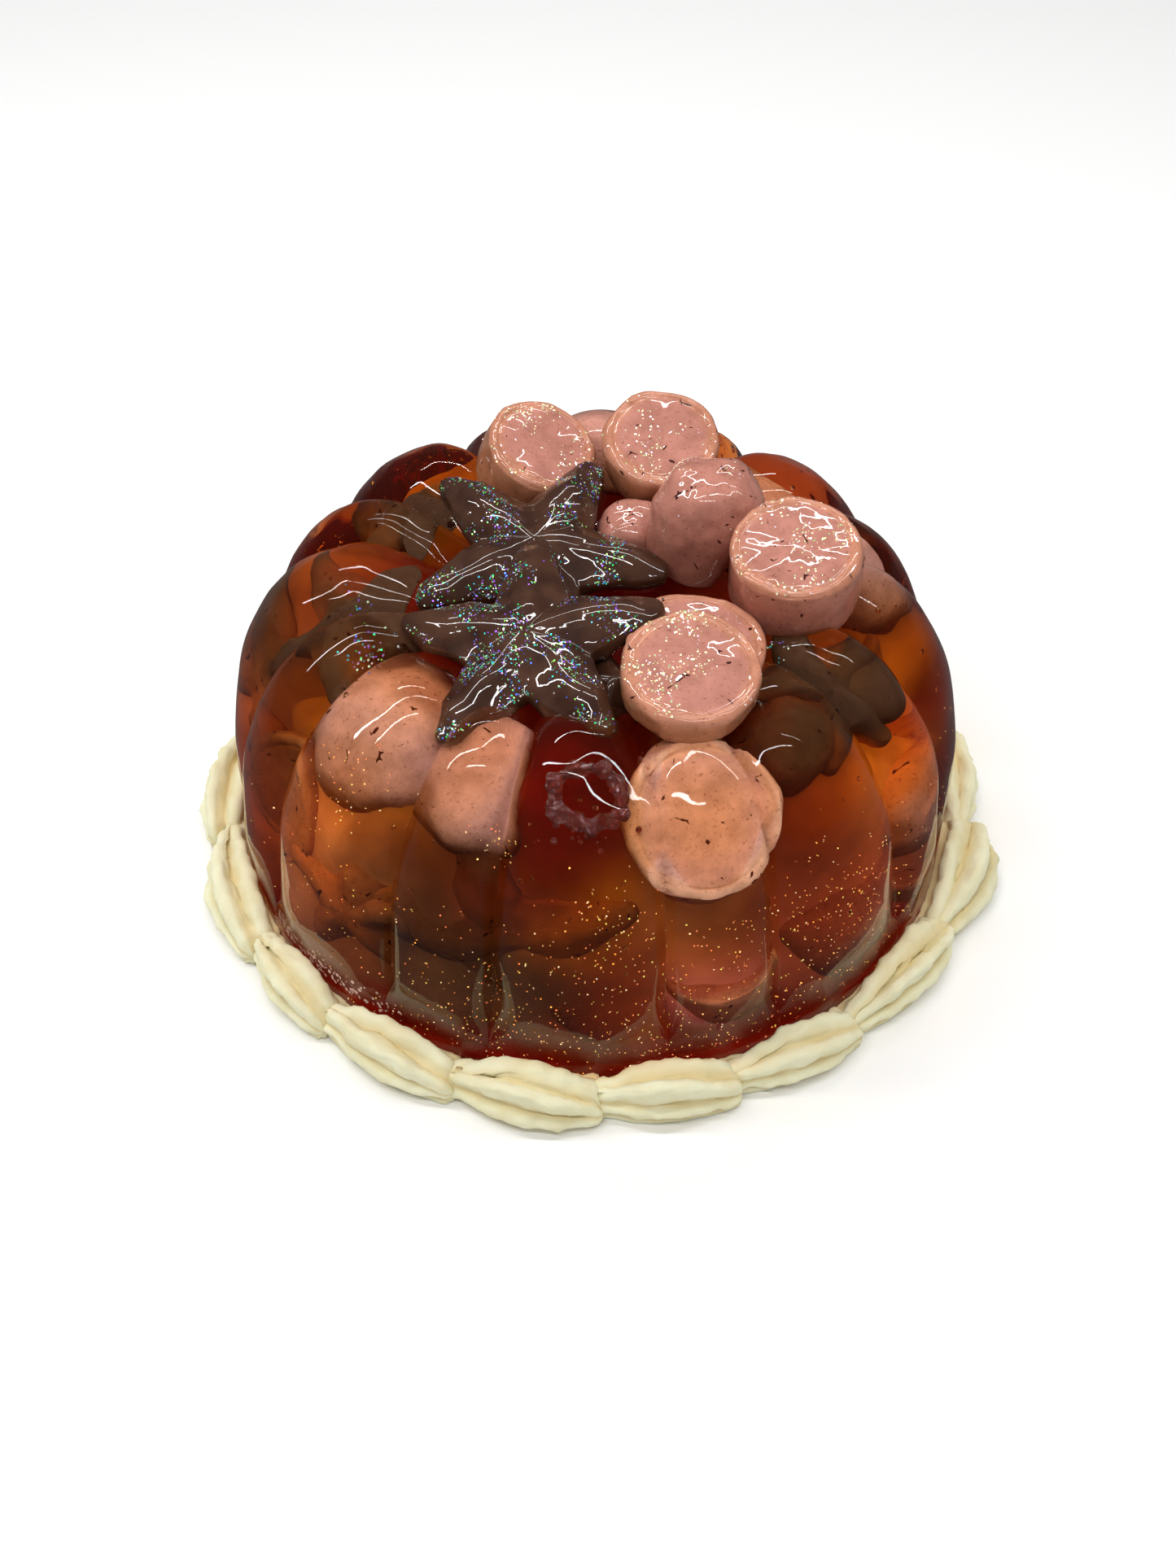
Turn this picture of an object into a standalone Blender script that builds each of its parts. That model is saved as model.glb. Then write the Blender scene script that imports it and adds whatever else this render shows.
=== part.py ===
"""Fluted jelly dessert cast in clear resin, with sausage pieces and stars on top and a piped border.

The lengths below are in millimetres and become metres where a mesh is made. The origin is the
centre of the underside, +Z is up and the front faces -Y. An angle round the dome is measured
from the front, positive towards +X.
"""
import math
import random

import bmesh
import bpy
from mathutils import Matrix, Vector

MM = 0.001
GAP = 0.3
FLAT = 1e-6

# Dome: heights and radii of the lobes' crests and of the creases between them
LOBE_PAIRS = 8
PAIR_ANGLE = 360.0 / LOBE_PAIRS
NARROW_LOBE_ANGLE = -24.8
NARROW_HALF = 8.9
WIDE_HALF = PAIR_ANGLE / 2 - NARROW_HALF
NARROW_REACH = 0.88
LOBE_ROUNDING = 2.4
LOBE_FULLNESS = 0.62
COLLAR_RADIUS = 52.4
COLLAR_HEIGHT = 7.5
CREST = ((COLLAR_RADIUS, 0), (COLLAR_RADIUS, COLLAR_HEIGHT), (53.0, 16), (51.8, 27),
         (48.2, 37.5), (42.0, 45.5), (34.0, 49.6), (26.5, 47.6), (20, 44.4), (10, 43.4), (2, 43.4))
CREASE = ((COLLAR_RADIUS, 0), (51.8, COLLAR_HEIGHT), (48.9, 13.5), (47.7, 25),
          (44.0, 34.5), (37.5, 41.0), (31.0, 43.6), (25.5, 44.0), (20, 43.8), (10, 43.4), (2, 43.4))
PROFILE_RINGS = 17
WIDE_STEPS = 8
NARROW_STEPS = 6

# Piped border: the angles where one shell ends and the next begins, and how far each reaches
SHELL_EDGES_IN_FRONT = (-84.0, -60.2, -42.4, -20.9, -0.2, 19.2, 39.0, 62.5, 83.7)
SHELL_REACHES_IN_FRONT = (59.7, 58.9, 59.1, 59.9, 59.4, 58.9, 59.0, 61.6)
SHELLS_BEHIND = 9
SHELL_REACHES_BEHIND = (59.2, 60.2)
SHELL_UNEVEN = 0.08
SHELL_SEED = 17
SHELL_HEIGHT = 8.3
SHELL_SPINE_RADIUS = 56.0
SHELL_SPINE_HEIGHT = 2.6
SHELL_SPINE_SINK = 0.45
SHELL_PRESS = 1.3
RIDGE_DEPTH = 0.22
SHELL_STATIONS = 9
SHELL_SIDES = 15
SHELL_BUNCHING = 1.15
SHELL_SWELL = ((0.0, 0.42), (0.14, 0.62), (0.34, 0.86), (0.56, 1.0), (0.76, 0.98), (0.91, 0.80),
               (1.0, 0.48))

# Stars
STAR_POINTS = 5
STAR_STEPS = 8
STAR_ROOT = 0.39
STAR_TIP = 0.12
STAR_SAMPLES = 16
STAR_RIDGE_ANGLE = 13.0
STAR_RINGS = (0.2, 0.5, 0.76, 0.93, 1.0)
STAR_PUFF = 3.4
STAR_RIDGE_SHARE = 0.3
STAR_EDGE_SHARE = 0.48
STAR_SIDE_SHARE = 0.15
STAR_DROOP = 0.14
STAR_FOOT = 0.95

# Sausage pieces: a slice's soft edges as inset and height, an end's dome, and a facet cut on one end
SAUSAGE_SIDES = 22
SLICE_FOOT = (1.1, 0.0)
SLICE_LOW_EDGE = (0.25, 0.8)
SLICE_HIGH_EDGES = ((0.15, 1.1), (0.8, 0.25), (1.9, 0.0))
SLICE_CROWN = 0.1
BULGE_SHARE = 0.45
END_FOOT = (0.6, 0.9)
END_STEPS = 5
END_SQUARENESS = 0.6
END_SQUASH = 0.92
FACETS = {"sausage_end_upright": ((0.83, -0.40, -0.39), 2.7)}

SHARP_ANGLE = 50.0
SHELL_SHARP_ANGLE = 70.0

RESIN = ("resin", (0.42, 0.05, 0.01), 0.08)
CREAM = ("cream", (0.88, 0.83, 0.66), 0.75)
CHOCOLATE = ("chocolate", (0.07, 0.03, 0.022), 0.2)
SAUSAGE = ("sausage", (0.60, 0.27, 0.23), 0.3)


def smooth_curve(stations, steps):
    """Points along a smooth curve through the stations, one more than the steps."""
    points = [Vector(station) for station in stations]
    ends = [2 * points[0] - points[1]] + points + [2 * points[-1] - points[-2]]
    spans = len(points) - 1
    curve = []
    for step in range(steps + 1):
        place = spans * step / steps
        span = min(int(place), spans - 1)
        t = place - span
        a, b, c, d = ends[span:span + 4]
        curve.append(0.5 * (2 * b + (c - a) * t + (2 * a - 5 * b + 4 * c - d) * t * t
                            + (3 * b - a - 3 * c + d) * t ** 3))
    return curve


def value_along(pairs, place):
    """The value at a place between stations given as (place, value), read along straight runs."""
    for (start, low), (end, high) in zip(pairs, pairs[1:]):
        if place <= end:
            return low + (high - low) * (place - start) / (end - start)
    return pairs[-1][1]


def ground_vector(angle, radius, height):
    """A point at an angle from the front, a radius from the middle and a height."""
    turn = math.radians(angle)
    return Vector((radius * math.sin(turn), -radius * math.cos(turn), height))


def rings_to_mesh(name, rings, pole_low=None, pole_high=None):
    """A closed mesh from rings of points, capped by a flat face or by a fan to a pole."""
    shape = bmesh.new()
    rows = []
    for ring in rings:
        rows.append([shape.verts.new(point * MM) for point in ring])
    count = len(rows[0])
    for lower, upper in zip(rows, rows[1:]):
        for k in range(count):
            n = (k + 1) % count
            shape.faces.new((lower[k], lower[n], upper[n], upper[k]))
    for row, pole in ((rows[0], pole_low), (rows[-1], pole_high)):
        if pole is None:
            shape.faces.new(row)
            continue
        tip = shape.verts.new(pole * MM)
        for k in range(count):
            shape.faces.new((row[k], row[(k + 1) % count], tip))
    bmesh.ops.recalc_face_normals(shape, faces=shape.faces)
    mesh = bpy.data.meshes.new(name)
    shape.to_mesh(mesh)
    shape.free()
    return mesh


def material(finish):
    """The Principled material of a finish, made once."""
    name, colour, roughness = finish
    if name in bpy.data.materials:
        return bpy.data.materials[name]
    made = bpy.data.materials.new(name)
    made.use_nodes = True
    shader = made.node_tree.nodes["Principled BSDF"]
    shader.inputs["Base Color"].default_value = (*colour, 1.0)
    shader.inputs["Roughness"].default_value = roughness
    shader.inputs["Metallic"].default_value = 0.0
    return made


def add_object(name, mesh, finish, sharp_angle=SHARP_ANGLE):
    """One sub-part as an object with its own material."""
    mesh.name = name
    mesh.materials.append(material(finish))
    mesh.shade_smooth()
    mesh.set_sharp_from_angle(angle=math.radians(sharp_angle))
    part = bpy.data.objects.new(name, mesh)
    bpy.context.scene.collection.objects.link(part)
    return part


def cut_clear(part, cutters):
    """Cuts a piece clear of its neighbours by their grown copies."""
    for cutter in cutters:
        cut = part.modifiers.new("clear_of_" + cutter.name, "BOOLEAN")
        cut.operation = "DIFFERENCE"
        cut.object = cutter


# Dome
def lobe_height(angle):
    """How far a lobe swells at an angle: 0 in a crease and 1 on a wide lobe's crest."""
    offset = (angle - NARROW_LOBE_ANGLE + PAIR_ANGLE / 2) % PAIR_ANGLE - PAIR_ANGLE / 2
    narrow = abs(offset) < NARROW_HALF
    across = abs(offset) / NARROW_HALF if narrow else (PAIR_ANGLE / 2 - abs(offset)) / WIDE_HALF
    swell = max(0.0, 1 - min(across, 1.0) ** LOBE_ROUNDING) ** LOBE_FULLNESS
    return NARROW_REACH * swell if narrow else swell


def lobe_angles():
    """Angles round the dome, with one on every crease and closer ones beside it."""
    angles = []
    for pair in range(LOBE_PAIRS):
        middle = NARROW_LOBE_ANGLE + pair * PAIR_ANGLE
        for centre, half, steps in ((middle, NARROW_HALF, NARROW_STEPS),
                                    (middle + PAIR_ANGLE / 2, WIDE_HALF, WIDE_STEPS)):
            for step in range(steps):
                angles.append(centre - half * math.cos(math.pi * step / steps))
    return angles


def dome_mesh(name, grow=0.0):
    """The fluted dome, or the same form grown outwards by a clearance."""
    crest = smooth_curve(CREST, PROFILE_RINGS)
    crease = smooth_curve(CREASE, PROFILE_RINGS)
    rings = []
    for high, low in zip(crest, crease):
        ring = []
        for angle in lobe_angles():
            place = low.lerp(high, lobe_height(angle))
            ring.append(ground_vector(angle, place.x, place.y))
        rings.append(ring)
    middle_height = CREST[-1][1]
    mesh = rings_to_mesh(name, rings, pole_high=Vector((0, 0, middle_height)))
    if grow:
        for vertex, normal in zip(mesh.vertices, [v.normal.copy() for v in mesh.vertices]):
            vertex.co += normal * grow * MM
    return mesh


# Piped border
def shell_section(reach, swell, side):
    """One point of a shell's cross-section, as radius and height: ridged outside, flat against
    the jelly's wall and on the ground."""
    turn = math.radians(-90 + 360 * side / SHELL_SIDES)
    across, upward = math.cos(turn), math.sin(turn)
    to_wall = SHELL_SPINE_RADIUS - COLLAR_RADIUS - GAP
    spine_height = SHELL_SPINE_HEIGHT * (1 - SHELL_SPINE_SINK * (1 - swell))
    out = (reach - SHELL_SPINE_RADIUS) * swell if across > 0 else to_wall + SHELL_PRESS
    up = (SHELL_HEIGHT - SHELL_SPINE_HEIGHT) * swell if upward > 0 else spine_height + SHELL_PRESS
    length = 1 / math.hypot(across / out, upward / up)
    if side % 2 == 0:
        length *= 1 - RIDGE_DEPTH * swell
    if upward < -FLAT:
        length = min(length, spine_height / -upward)
    if across < -FLAT:
        length = min(length, to_wall / -across)
    return SHELL_SPINE_RADIUS + length * across, max(spine_height + length * upward, 0.0)


def shell_mesh(name, start, end, reach):
    """One piped shell from its tapered tail at the start to its round head at the end."""
    clearance = math.degrees(GAP / 2 / SHELL_SPINE_RADIUS)
    first = start + clearance
    span = end - start - 2 * clearance
    rings = []
    for station in range(SHELL_STATIONS):
        along = math.sin(math.pi / 2 * station / (SHELL_STATIONS - 1)) ** SHELL_BUNCHING
        swell = value_along(SHELL_SWELL, along)
        ring = []
        for side in range(SHELL_SIDES):
            radius, height = shell_section(reach, swell, side)
            ring.append(ground_vector(first + span * along, radius, height))
        rings.append(ring)
    return rings_to_mesh(name, rings)


def shell_edges():
    """Edges and reaches of all the shells, the ones behind spread over what the front leaves."""
    draw = random.Random(SHELL_SEED)
    edges = list(SHELL_EDGES_IN_FRONT)
    reaches = list(SHELL_REACHES_IN_FRONT)
    last = edges[-1]
    step = (360 + edges[0] - last) / SHELLS_BEHIND
    for k in range(1, SHELLS_BEHIND):
        edges.append(last + step * (k + draw.uniform(-SHELL_UNEVEN, SHELL_UNEVEN)))
    edges.append(360 + SHELL_EDGES_IN_FRONT[0])
    for _ in range(SHELLS_BEHIND):
        reaches.append(draw.uniform(*SHELL_REACHES_BEHIND))
    return edges, reaches


# Stars
def star_outline(radius, angle_from_point):
    """Distance from the middle to a star's edge: each arm is a round-ended taper."""
    turn = math.radians(angle_from_point)
    root = radius * STAR_ROOT
    tip = radius * STAR_TIP
    length = radius - tip
    reach = root
    for step in range(STAR_SAMPLES + 1):
        along = length * step / STAR_SAMPLES
        width = root + (tip - root) * along / length
        inside = width ** 2 - (along * math.sin(turn)) ** 2
        if inside >= 0:
            reach = max(reach, along * math.cos(turn) + math.sqrt(inside))
    return reach


def star_mesh(name, radius, thickness, grow=0.0):
    """A puffy star with a ridge along each arm, its middle at the origin."""
    half = 180 / STAR_POINTS
    tops = []
    for ring_place in STAR_RINGS:
        ring = []
        for k in range(STAR_POINTS * STAR_STEPS):
            angle = 360 * k / (STAR_POINTS * STAR_STEPS)
            from_point = abs((angle + half) % (2 * half) - half)
            reach = (star_outline(radius, from_point) + grow) * ring_place
            ridge = math.exp(-(from_point / STAR_RIDGE_ANGLE) ** 2)
            puff = (1 - ring_place ** STAR_PUFF) * (1 - STAR_RIDGE_SHARE * (1 - ridge))
            droop = 1 - STAR_DROOP * (reach / radius) ** 2
            turn = math.radians(angle + 90)
            height = (thickness + grow) * (STAR_EDGE_SHARE + (1 - STAR_EDGE_SHARE) * puff) * droop
            ring.append(Vector((reach * math.cos(turn), reach * math.sin(turn), height)))
        tops.append(ring)
    foot = [Vector((p.x * STAR_FOOT, p.y * STAR_FOOT, -grow)) for p in tops[-1]]
    side = [Vector((p.x, p.y, STAR_SIDE_SHARE * thickness)) for p in tops[-1]]
    peak = max(point.z for point in tops[0])
    return rings_to_mesh(name, [foot, side] + tops[::-1], pole_high=Vector((0, 0, peak)))


# Sausage pieces
def turned_mesh(name, profile, squash=1.0):
    """A turned piece from its profile of radius and height, a little oval in plan."""
    rings = []
    for radius, height in profile[1:-1]:
        ring = []
        for k in range(SAUSAGE_SIDES):
            turn = math.tau * k / SAUSAGE_SIDES
            ring.append(Vector((radius * math.cos(turn), radius * squash * math.sin(turn), height)))
        rings.append(ring)
    low = Vector((0, 0, profile[0][1]))
    high = Vector((0, 0, profile[-1][1]))
    return rings_to_mesh(name, rings, pole_low=low, pole_high=high)


def slice_profile(radius, thickness, grow=0.0):
    """A slice with soft edges and slightly bulging sides."""
    r = radius + grow
    top = thickness + grow
    profile = [(0, -grow), (r - SLICE_FOOT[0], SLICE_FOOT[1] - grow),
               (r - SLICE_LOW_EDGE[0], SLICE_LOW_EDGE[1]), (r, BULGE_SHARE * top)]
    for inset, depth in SLICE_HIGH_EDGES:
        profile.append((r - inset, top - depth))
    profile.append((0, top + SLICE_CROWN))
    return profile


def end_profile(radius, thickness, grow=0.0):
    """A sausage end: a cylinder closed by a rather square dome."""
    r = radius + grow
    top = thickness + grow
    wall = BULGE_SHARE * top
    profile = [(0, -grow), (r - END_FOOT[0], -grow), (r, END_FOOT[1]), (r, wall)]
    for k in range(1, END_STEPS):
        turn = math.pi / 2 * k / END_STEPS
        profile.append((r * math.cos(turn) ** END_SQUARENESS, wall + (top - wall) * math.sin(turn)))
    profile.append((0, top))
    return profile


def shave(mesh, facet, grow=0.0):
    """Flattens what lies beyond a plane, given as its normal and its distance from the origin."""
    normal = Vector(facet[0]).normalized()
    for vertex in mesh.vertices:
        beyond = normal.dot(vertex.co) - (facet[1] + grow) * MM
        if beyond > 0:
            vertex.co -= normal * beyond


def place(mesh, centre, lean_back=0.0, lean_side=0.0, turn=0.0):
    """Turns a piece about its own upright, leans it, and sets its underside at a point."""
    move = (Matrix.Translation(Vector(centre) * MM)
            @ Matrix.Rotation(math.radians(lean_side), 4, "Y")
            @ Matrix.Rotation(math.radians(lean_back), 4, "X")
            @ Matrix.Rotation(math.radians(turn), 4, "Z"))
    mesh.transform(move)
    return mesh


# Each topping: name, kind, radius, thickness, centre of the underside, lean back, lean sideways, turn
TOPPINGS = (
    ("star_front", "star", 18.6, 5.6, (-8.2, -16.2, 47.5), 9.5, -7.0, -2.4),
    ("sausage_slice_front", "slice", 9.0, 5.2, (12.3, -24.8, 49.4), 14, 2, 0),
    ("sausage_slice_right", "slice", 8.9, 9.6, (27.2, -3.8, 47.7), 10, -3, 20),
    ("sausage_end_upright", "end", 8.0, 15.4, (15.2, 8.8, 44.2), 6, 4, 0),
    ("sausage_slice_back_right", "slice", 8.3, 6.2, (9.4, 24.0, 49.2), 20, 3, 10),
    ("sausage_slice_back_left", "slice", 8.0, 10.0, (-10.2, 25.5, 43.8), 14, 18, 30),
    ("star_back", "star", 18.6, 5.8, (-8.0, 4.6, 46.2), 14, -1, 44),
    ("sausage_slice_under", "slice", 9.3, 4.8, (13.3, -16.6, 45.8), 4, 3, 15),
    ("sausage_end_middle", "end", 5.0, 7.4, (6.0, 11.8, 42.8), 8, -6, 0),
    ("star_fragment", "star", 8.0, 4.8, (2.6, -20.8, 43.8), 6, 4, 20),
)
TOPPING_FINISHES = {"star": CHOCOLATE, "slice": SAUSAGE, "end": SAUSAGE}


def topping_mesh(row, grow=0.0):
    """The mesh of one topping in its place."""
    name, kind, radius, thickness, centre, lean_back, lean_side, turn = row
    if kind == "star":
        mesh = star_mesh(name, radius, thickness, grow)
    elif kind == "slice":
        mesh = turned_mesh(name, slice_profile(radius, thickness, grow))
    else:
        mesh = turned_mesh(name, end_profile(radius, thickness, grow), END_SQUASH)
    if name in FACETS:
        shave(mesh, FACETS[name], grow)
    return place(mesh, centre, lean_back, lean_side, turn)


def make_cutter(name, mesh):
    """A grown copy that only cuts its neighbours."""
    cutter = bpy.data.objects.new(name + "_clearance", mesh)
    cutter.hide_render = True
    cutter.display_type = "WIRE"
    bpy.context.scene.collection.objects.link(cutter)
    return cutter


def clear_scene():
    """Removes whatever the scene starts with."""
    for leftover in list(bpy.data.objects):
        bpy.data.objects.remove(leftover, do_unlink=True)


def build():
    """Builds the dome, the border and the toppings."""
    clear_scene()
    add_object("jelly", dome_mesh("jelly"), RESIN)
    dome_cutter = make_cutter("jelly", dome_mesh("jelly_grown", GAP))
    edges, reaches = shell_edges()
    for k, reach in enumerate(reaches):
        name = "cream_shell_%02d" % (k + 1)
        add_object(name, shell_mesh(name, edges[k], edges[k + 1], reach), CREAM, SHELL_SHARP_ANGLE)
    above = []
    for row in TOPPINGS:
        piece = add_object(row[0], topping_mesh(row), TOPPING_FINISHES[row[1]])
        cut_clear(piece, [dome_cutter] + above)
        above.append(make_cutter(row[0], topping_mesh(row, GAP)))


build()
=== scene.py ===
"""The looks of a fluted jelly dessert cast in clear resin.

The frame is in metres, with its origin at the middle of the underside, +Z up and the front at -Y.
Sizes here are in millimetres and are turned into metres by MM where a mesh is made. An angle round
the dome is measured from the front, positive towards +X.
"""
import math
import random

import bmesh
import bpy
from mathutils import Matrix, Vector, noise


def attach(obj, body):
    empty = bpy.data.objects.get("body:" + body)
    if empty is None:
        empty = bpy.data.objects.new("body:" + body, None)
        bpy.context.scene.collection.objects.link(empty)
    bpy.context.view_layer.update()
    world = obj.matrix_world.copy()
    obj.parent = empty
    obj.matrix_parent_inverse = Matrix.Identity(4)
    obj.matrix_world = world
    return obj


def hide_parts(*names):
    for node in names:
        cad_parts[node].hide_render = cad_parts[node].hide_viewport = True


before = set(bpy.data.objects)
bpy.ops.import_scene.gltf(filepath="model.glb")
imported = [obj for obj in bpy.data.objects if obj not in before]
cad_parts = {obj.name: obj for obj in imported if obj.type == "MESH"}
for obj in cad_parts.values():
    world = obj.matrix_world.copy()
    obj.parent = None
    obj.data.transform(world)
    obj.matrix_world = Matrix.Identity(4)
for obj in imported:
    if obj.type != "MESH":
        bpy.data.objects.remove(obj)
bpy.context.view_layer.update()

MM = 0.001

# The dome's named sizes, the same as in the CAD
LOBE_PAIRS = 8
PAIR_ANGLE = 360.0 / LOBE_PAIRS
NARROW_LOBE_ANGLE = -24.8
NARROW_HALF = 8.9
WIDE_HALF = PAIR_ANGLE / 2 - NARROW_HALF
NARROW_REACH = 0.88
LOBE_ROUNDING = 2.4
LOBE_FULLNESS = 0.62
COLLAR_RADIUS = 52.4
COLLAR_HEIGHT = 7.5
CREST = ((COLLAR_RADIUS, 0), (COLLAR_RADIUS, COLLAR_HEIGHT), (53.0, 16), (51.8, 27),
         (48.2, 37.5), (42.0, 45.5), (34.0, 49.6), (26.5, 47.6), (20, 44.4), (10, 43.4), (2, 43.4))
CREASE = ((COLLAR_RADIUS, 0), (51.8, COLLAR_HEIGHT), (48.9, 13.5), (47.7, 25),
          (44.0, 34.5), (37.5, 41.0), (31.0, 43.6), (25.5, 44.0), (20, 43.8), (10, 43.4), (2, 43.4))

# The border's named sizes, the same as in the CAD
SHELL_COUNT = 17
SHELL_SPINE_RADIUS = 56.0


# Making and settling pieces
def deselect():
    """Leaves edit mode and selects nothing."""
    if bpy.context.object and bpy.context.object.mode != "OBJECT":
        bpy.ops.object.mode_set(mode="OBJECT")
    bpy.ops.object.select_all(action="DESELECT")


def start_edit(piece):
    """Opens a piece in edit mode with nothing selected and gives its editable mesh."""
    deselect()
    piece.select_set(True)
    bpy.context.view_layer.objects.active = piece
    bpy.ops.object.mode_set(mode="EDIT")
    bpy.ops.mesh.select_mode(type="FACE")
    bpy.ops.mesh.select_all(action="DESELECT")
    return bmesh.from_edit_mesh(piece.data)


def apply_all(piece):
    """Applies a piece's place and its modifiers."""
    deselect()
    piece.select_set(True)
    bpy.context.view_layer.objects.active = piece
    for modifier in list(piece.modifiers):
        bpy.ops.object.modifier_apply(modifier=modifier.name)
    bpy.ops.object.transform_apply(location=True, rotation=True, scale=True)


def raise_rings(name, sides, stations):
    """A turned form: a low cone whose top face is extruded and resized through the stations.

    The stations are radius and height in millimetres, from the foot to the middle of the top.
    """
    deselect()
    (foot, low), (next_radius, high) = stations[:2]
    bpy.ops.mesh.primitive_cone_add(vertices=sides, radius1=foot * MM, radius2=next_radius * MM,
                                    depth=(high - low) * MM, location=(0, 0, (low + high) / 2 * MM))
    piece = bpy.context.object
    piece.name = piece.data.name = name
    apply_all(piece)
    shape = start_edit(piece)
    shape.faces.ensure_lookup_table()
    top = max(shape.faces, key=lambda face: face.calc_center_median().z + 10 * (len(face.verts) == sides))
    top.select_set(True)
    bmesh.update_edit_mesh(piece.data)
    for (radius, height), (new_radius, new_height) in zip(stations[1:], stations[2:]):
        rise = (new_height - height) * MM
        bpy.ops.mesh.extrude_region_move(TRANSFORM_OT_translate={"value": (0, 0, rise)})
        bpy.ops.transform.resize(value=(new_radius / radius, new_radius / radius, 1))
    bpy.ops.mesh.poke()
    deselect()
    return piece


def copy_of(blank, name):
    """A copy of a blank with its own mesh."""
    piece = blank.copy()
    piece.data = blank.data.copy()
    piece.name = piece.data.name = name
    bpy.context.scene.collection.objects.link(piece)
    return piece


DRUM_RADIUS = 10.0
DRUM_MIDDLE = 0.01


def blank_drum(name, sides, rings):
    """A drum of rings one millimetre apart, to be drawn into another form."""
    return raise_rings(name, sides, [(DRUM_RADIUS, ring) for ring in range(rings)])


def turn_profile(piece, stations):
    """Draws a drum's rings into stations of radius and height."""
    def rule(point):
        ring = min(round(point.z), len(stations) - 1)
        radius, height = stations[ring]
        reach = math.hypot(point.x, point.y) / DRUM_RADIUS
        if reach < DRUM_MIDDLE:
            return Vector((0, 0, height))
        return Vector((point.x / DRUM_RADIUS * radius, point.y / DRUM_RADIUS * radius, height))
    move_points(piece, rule)


def move_points(piece, rule):
    """Moves every point of a piece by a rule that takes and gives millimetres."""
    for point in piece.data.vertices:
        point.co = Vector(rule(point.co / MM)) * MM
    piece.data.update()


def roughen(piece, size, depth, seed, only=None):
    """Pushes points along their normals by smooth noise of a size and depth in millimetres."""
    shift = Vector((seed * 3.1, seed * 1.7, seed * 2.3))
    normals = [point.normal.copy() for point in piece.data.vertices]
    for point, normal in zip(piece.data.vertices, normals):
        strength = 1.0 if only is None else only(point.co / MM)
        push = noise.noise(point.co / (MM * size) + shift) * depth * strength
        point.co += normal * push * MM
    piece.data.update()


def settle(piece, material, replaced=None):
    """Gives a piece its finish and body, and hides the node that it stands for."""
    piece.data.materials.clear()
    piece.data.materials.append(material)
    piece.data.shade_smooth()
    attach(piece, "root")
    if replaced:
        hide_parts(replaced)
    return piece


def smooth_curve(stations, steps):
    """Points along a smooth curve through the stations, one more than the steps."""
    points = [Vector(station) for station in stations]
    ends = [2 * points[0] - points[1]] + points + [2 * points[-1] - points[-2]]
    spans = len(points) - 1
    curve = []
    for step in range(steps + 1):
        along = spans * step / steps
        span = min(int(along), spans - 1)
        t = along - span
        a, b, c, d = ends[span:span + 4]
        curve.append(0.5 * (2 * b + (c - a) * t + (2 * a - 5 * b + 4 * c - d) * t * t
                            + (3 * b - a - 3 * c + d) * t ** 3))
    return curve


def value_along(pairs, place):
    """The value at a place between stations given as (place, value)."""
    for (start, low), (end, high) in zip(pairs, pairs[1:]):
        if place <= end:
            t = (place - start) / (end - start)
            return low + (high - low) * t * t * (3 - 2 * t)
    return pairs[-1][1]


def ground_vector(angle, radius, height):
    """A point at an angle from the front, a radius from the middle and a height."""
    turn = math.radians(angle)
    return Vector((radius * math.sin(turn), -radius * math.cos(turn), height))


# Camera, lights and floor
FOCAL_PIXELS = 2556.0
PHOTO_WIDTH = 1445
PHOTO_HEIGHT = 1927
SENSOR = 36.0
CAMERA_DISTANCE = 320.0
CAMERA_HEIGHT_ANGLE = 45.9
ORIGIN_PIXEL = (729.6, 1003.5)


def make_camera():
    """A camera at the photo's height angle, with the origin on its pixel by a small shift."""
    data = bpy.data.cameras.new("camera")
    camera = bpy.data.objects.new("camera", data)
    bpy.context.scene.collection.objects.link(camera)
    rise = math.radians(CAMERA_HEIGHT_ANGLE)
    camera.location = Vector((0, -math.cos(rise), math.sin(rise))) * CAMERA_DISTANCE * MM
    camera.rotation_euler = (math.pi / 2 - rise, 0, 0)
    data.sensor_width = SENSOR
    data.lens = FOCAL_PIXELS * SENSOR / PHOTO_HEIGHT
    data.shift_x = (PHOTO_WIDTH / 2 - ORIGIN_PIXEL[0]) / PHOTO_HEIGHT
    data.shift_y = (ORIGIN_PIXEL[1] - PHOTO_HEIGHT / 2) / PHOTO_HEIGHT
    data.clip_start = 0.01
    bpy.context.scene.camera = camera


def make_lamp(name, place, aim, width, depth, watts):
    """A soft rectangular lamp that looks at a point; place, aim and size in millimetres."""
    data = bpy.data.lights.new(name, "AREA")
    data.shape = "RECTANGLE"
    data.size = width * MM
    data.size_y = depth * MM
    data.energy = watts
    lamp = bpy.data.objects.new(name, data)
    bpy.context.scene.collection.objects.link(lamp)
    lamp.location = Vector(place) * MM
    lamp.rotation_euler = (Vector(aim) - Vector(place)).to_track_quat("-Z", "Y").to_euler()


# Narrow lamps in a square: name, place, width, depth and watts
LAMP_HEIGHT = 430
LAMPS = (("lamp_left", -270, 20, 16, 480, 0.92), ("lamp_right", 210, 20, 16, 480, 0.60),
         ("lamp_near", -30, -220, 480, 16, 0.80), ("lamp_far", -30, 260, 480, 16, 0.64))
FLOOR_COLOUR = (0.93, 0.93, 0.925)
FLOOR_IN_REFLECTIONS = (0.10, 0.10, 0.10)
SURROUND_IN_REFLECTIONS = (0.16, 0.16, 0.17)


def dimmed_in_reflections(tree, colour, dim_colour):
    """A colour that glossy surfaces reflect as a dimmer one, as in a room with dark walls."""
    path = tree.nodes.new("ShaderNodeLightPath")
    return mixed_colour(tree, path.outputs["Is Glossy Ray"], colour, dim_colour, 0.0, 1.0)


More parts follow.
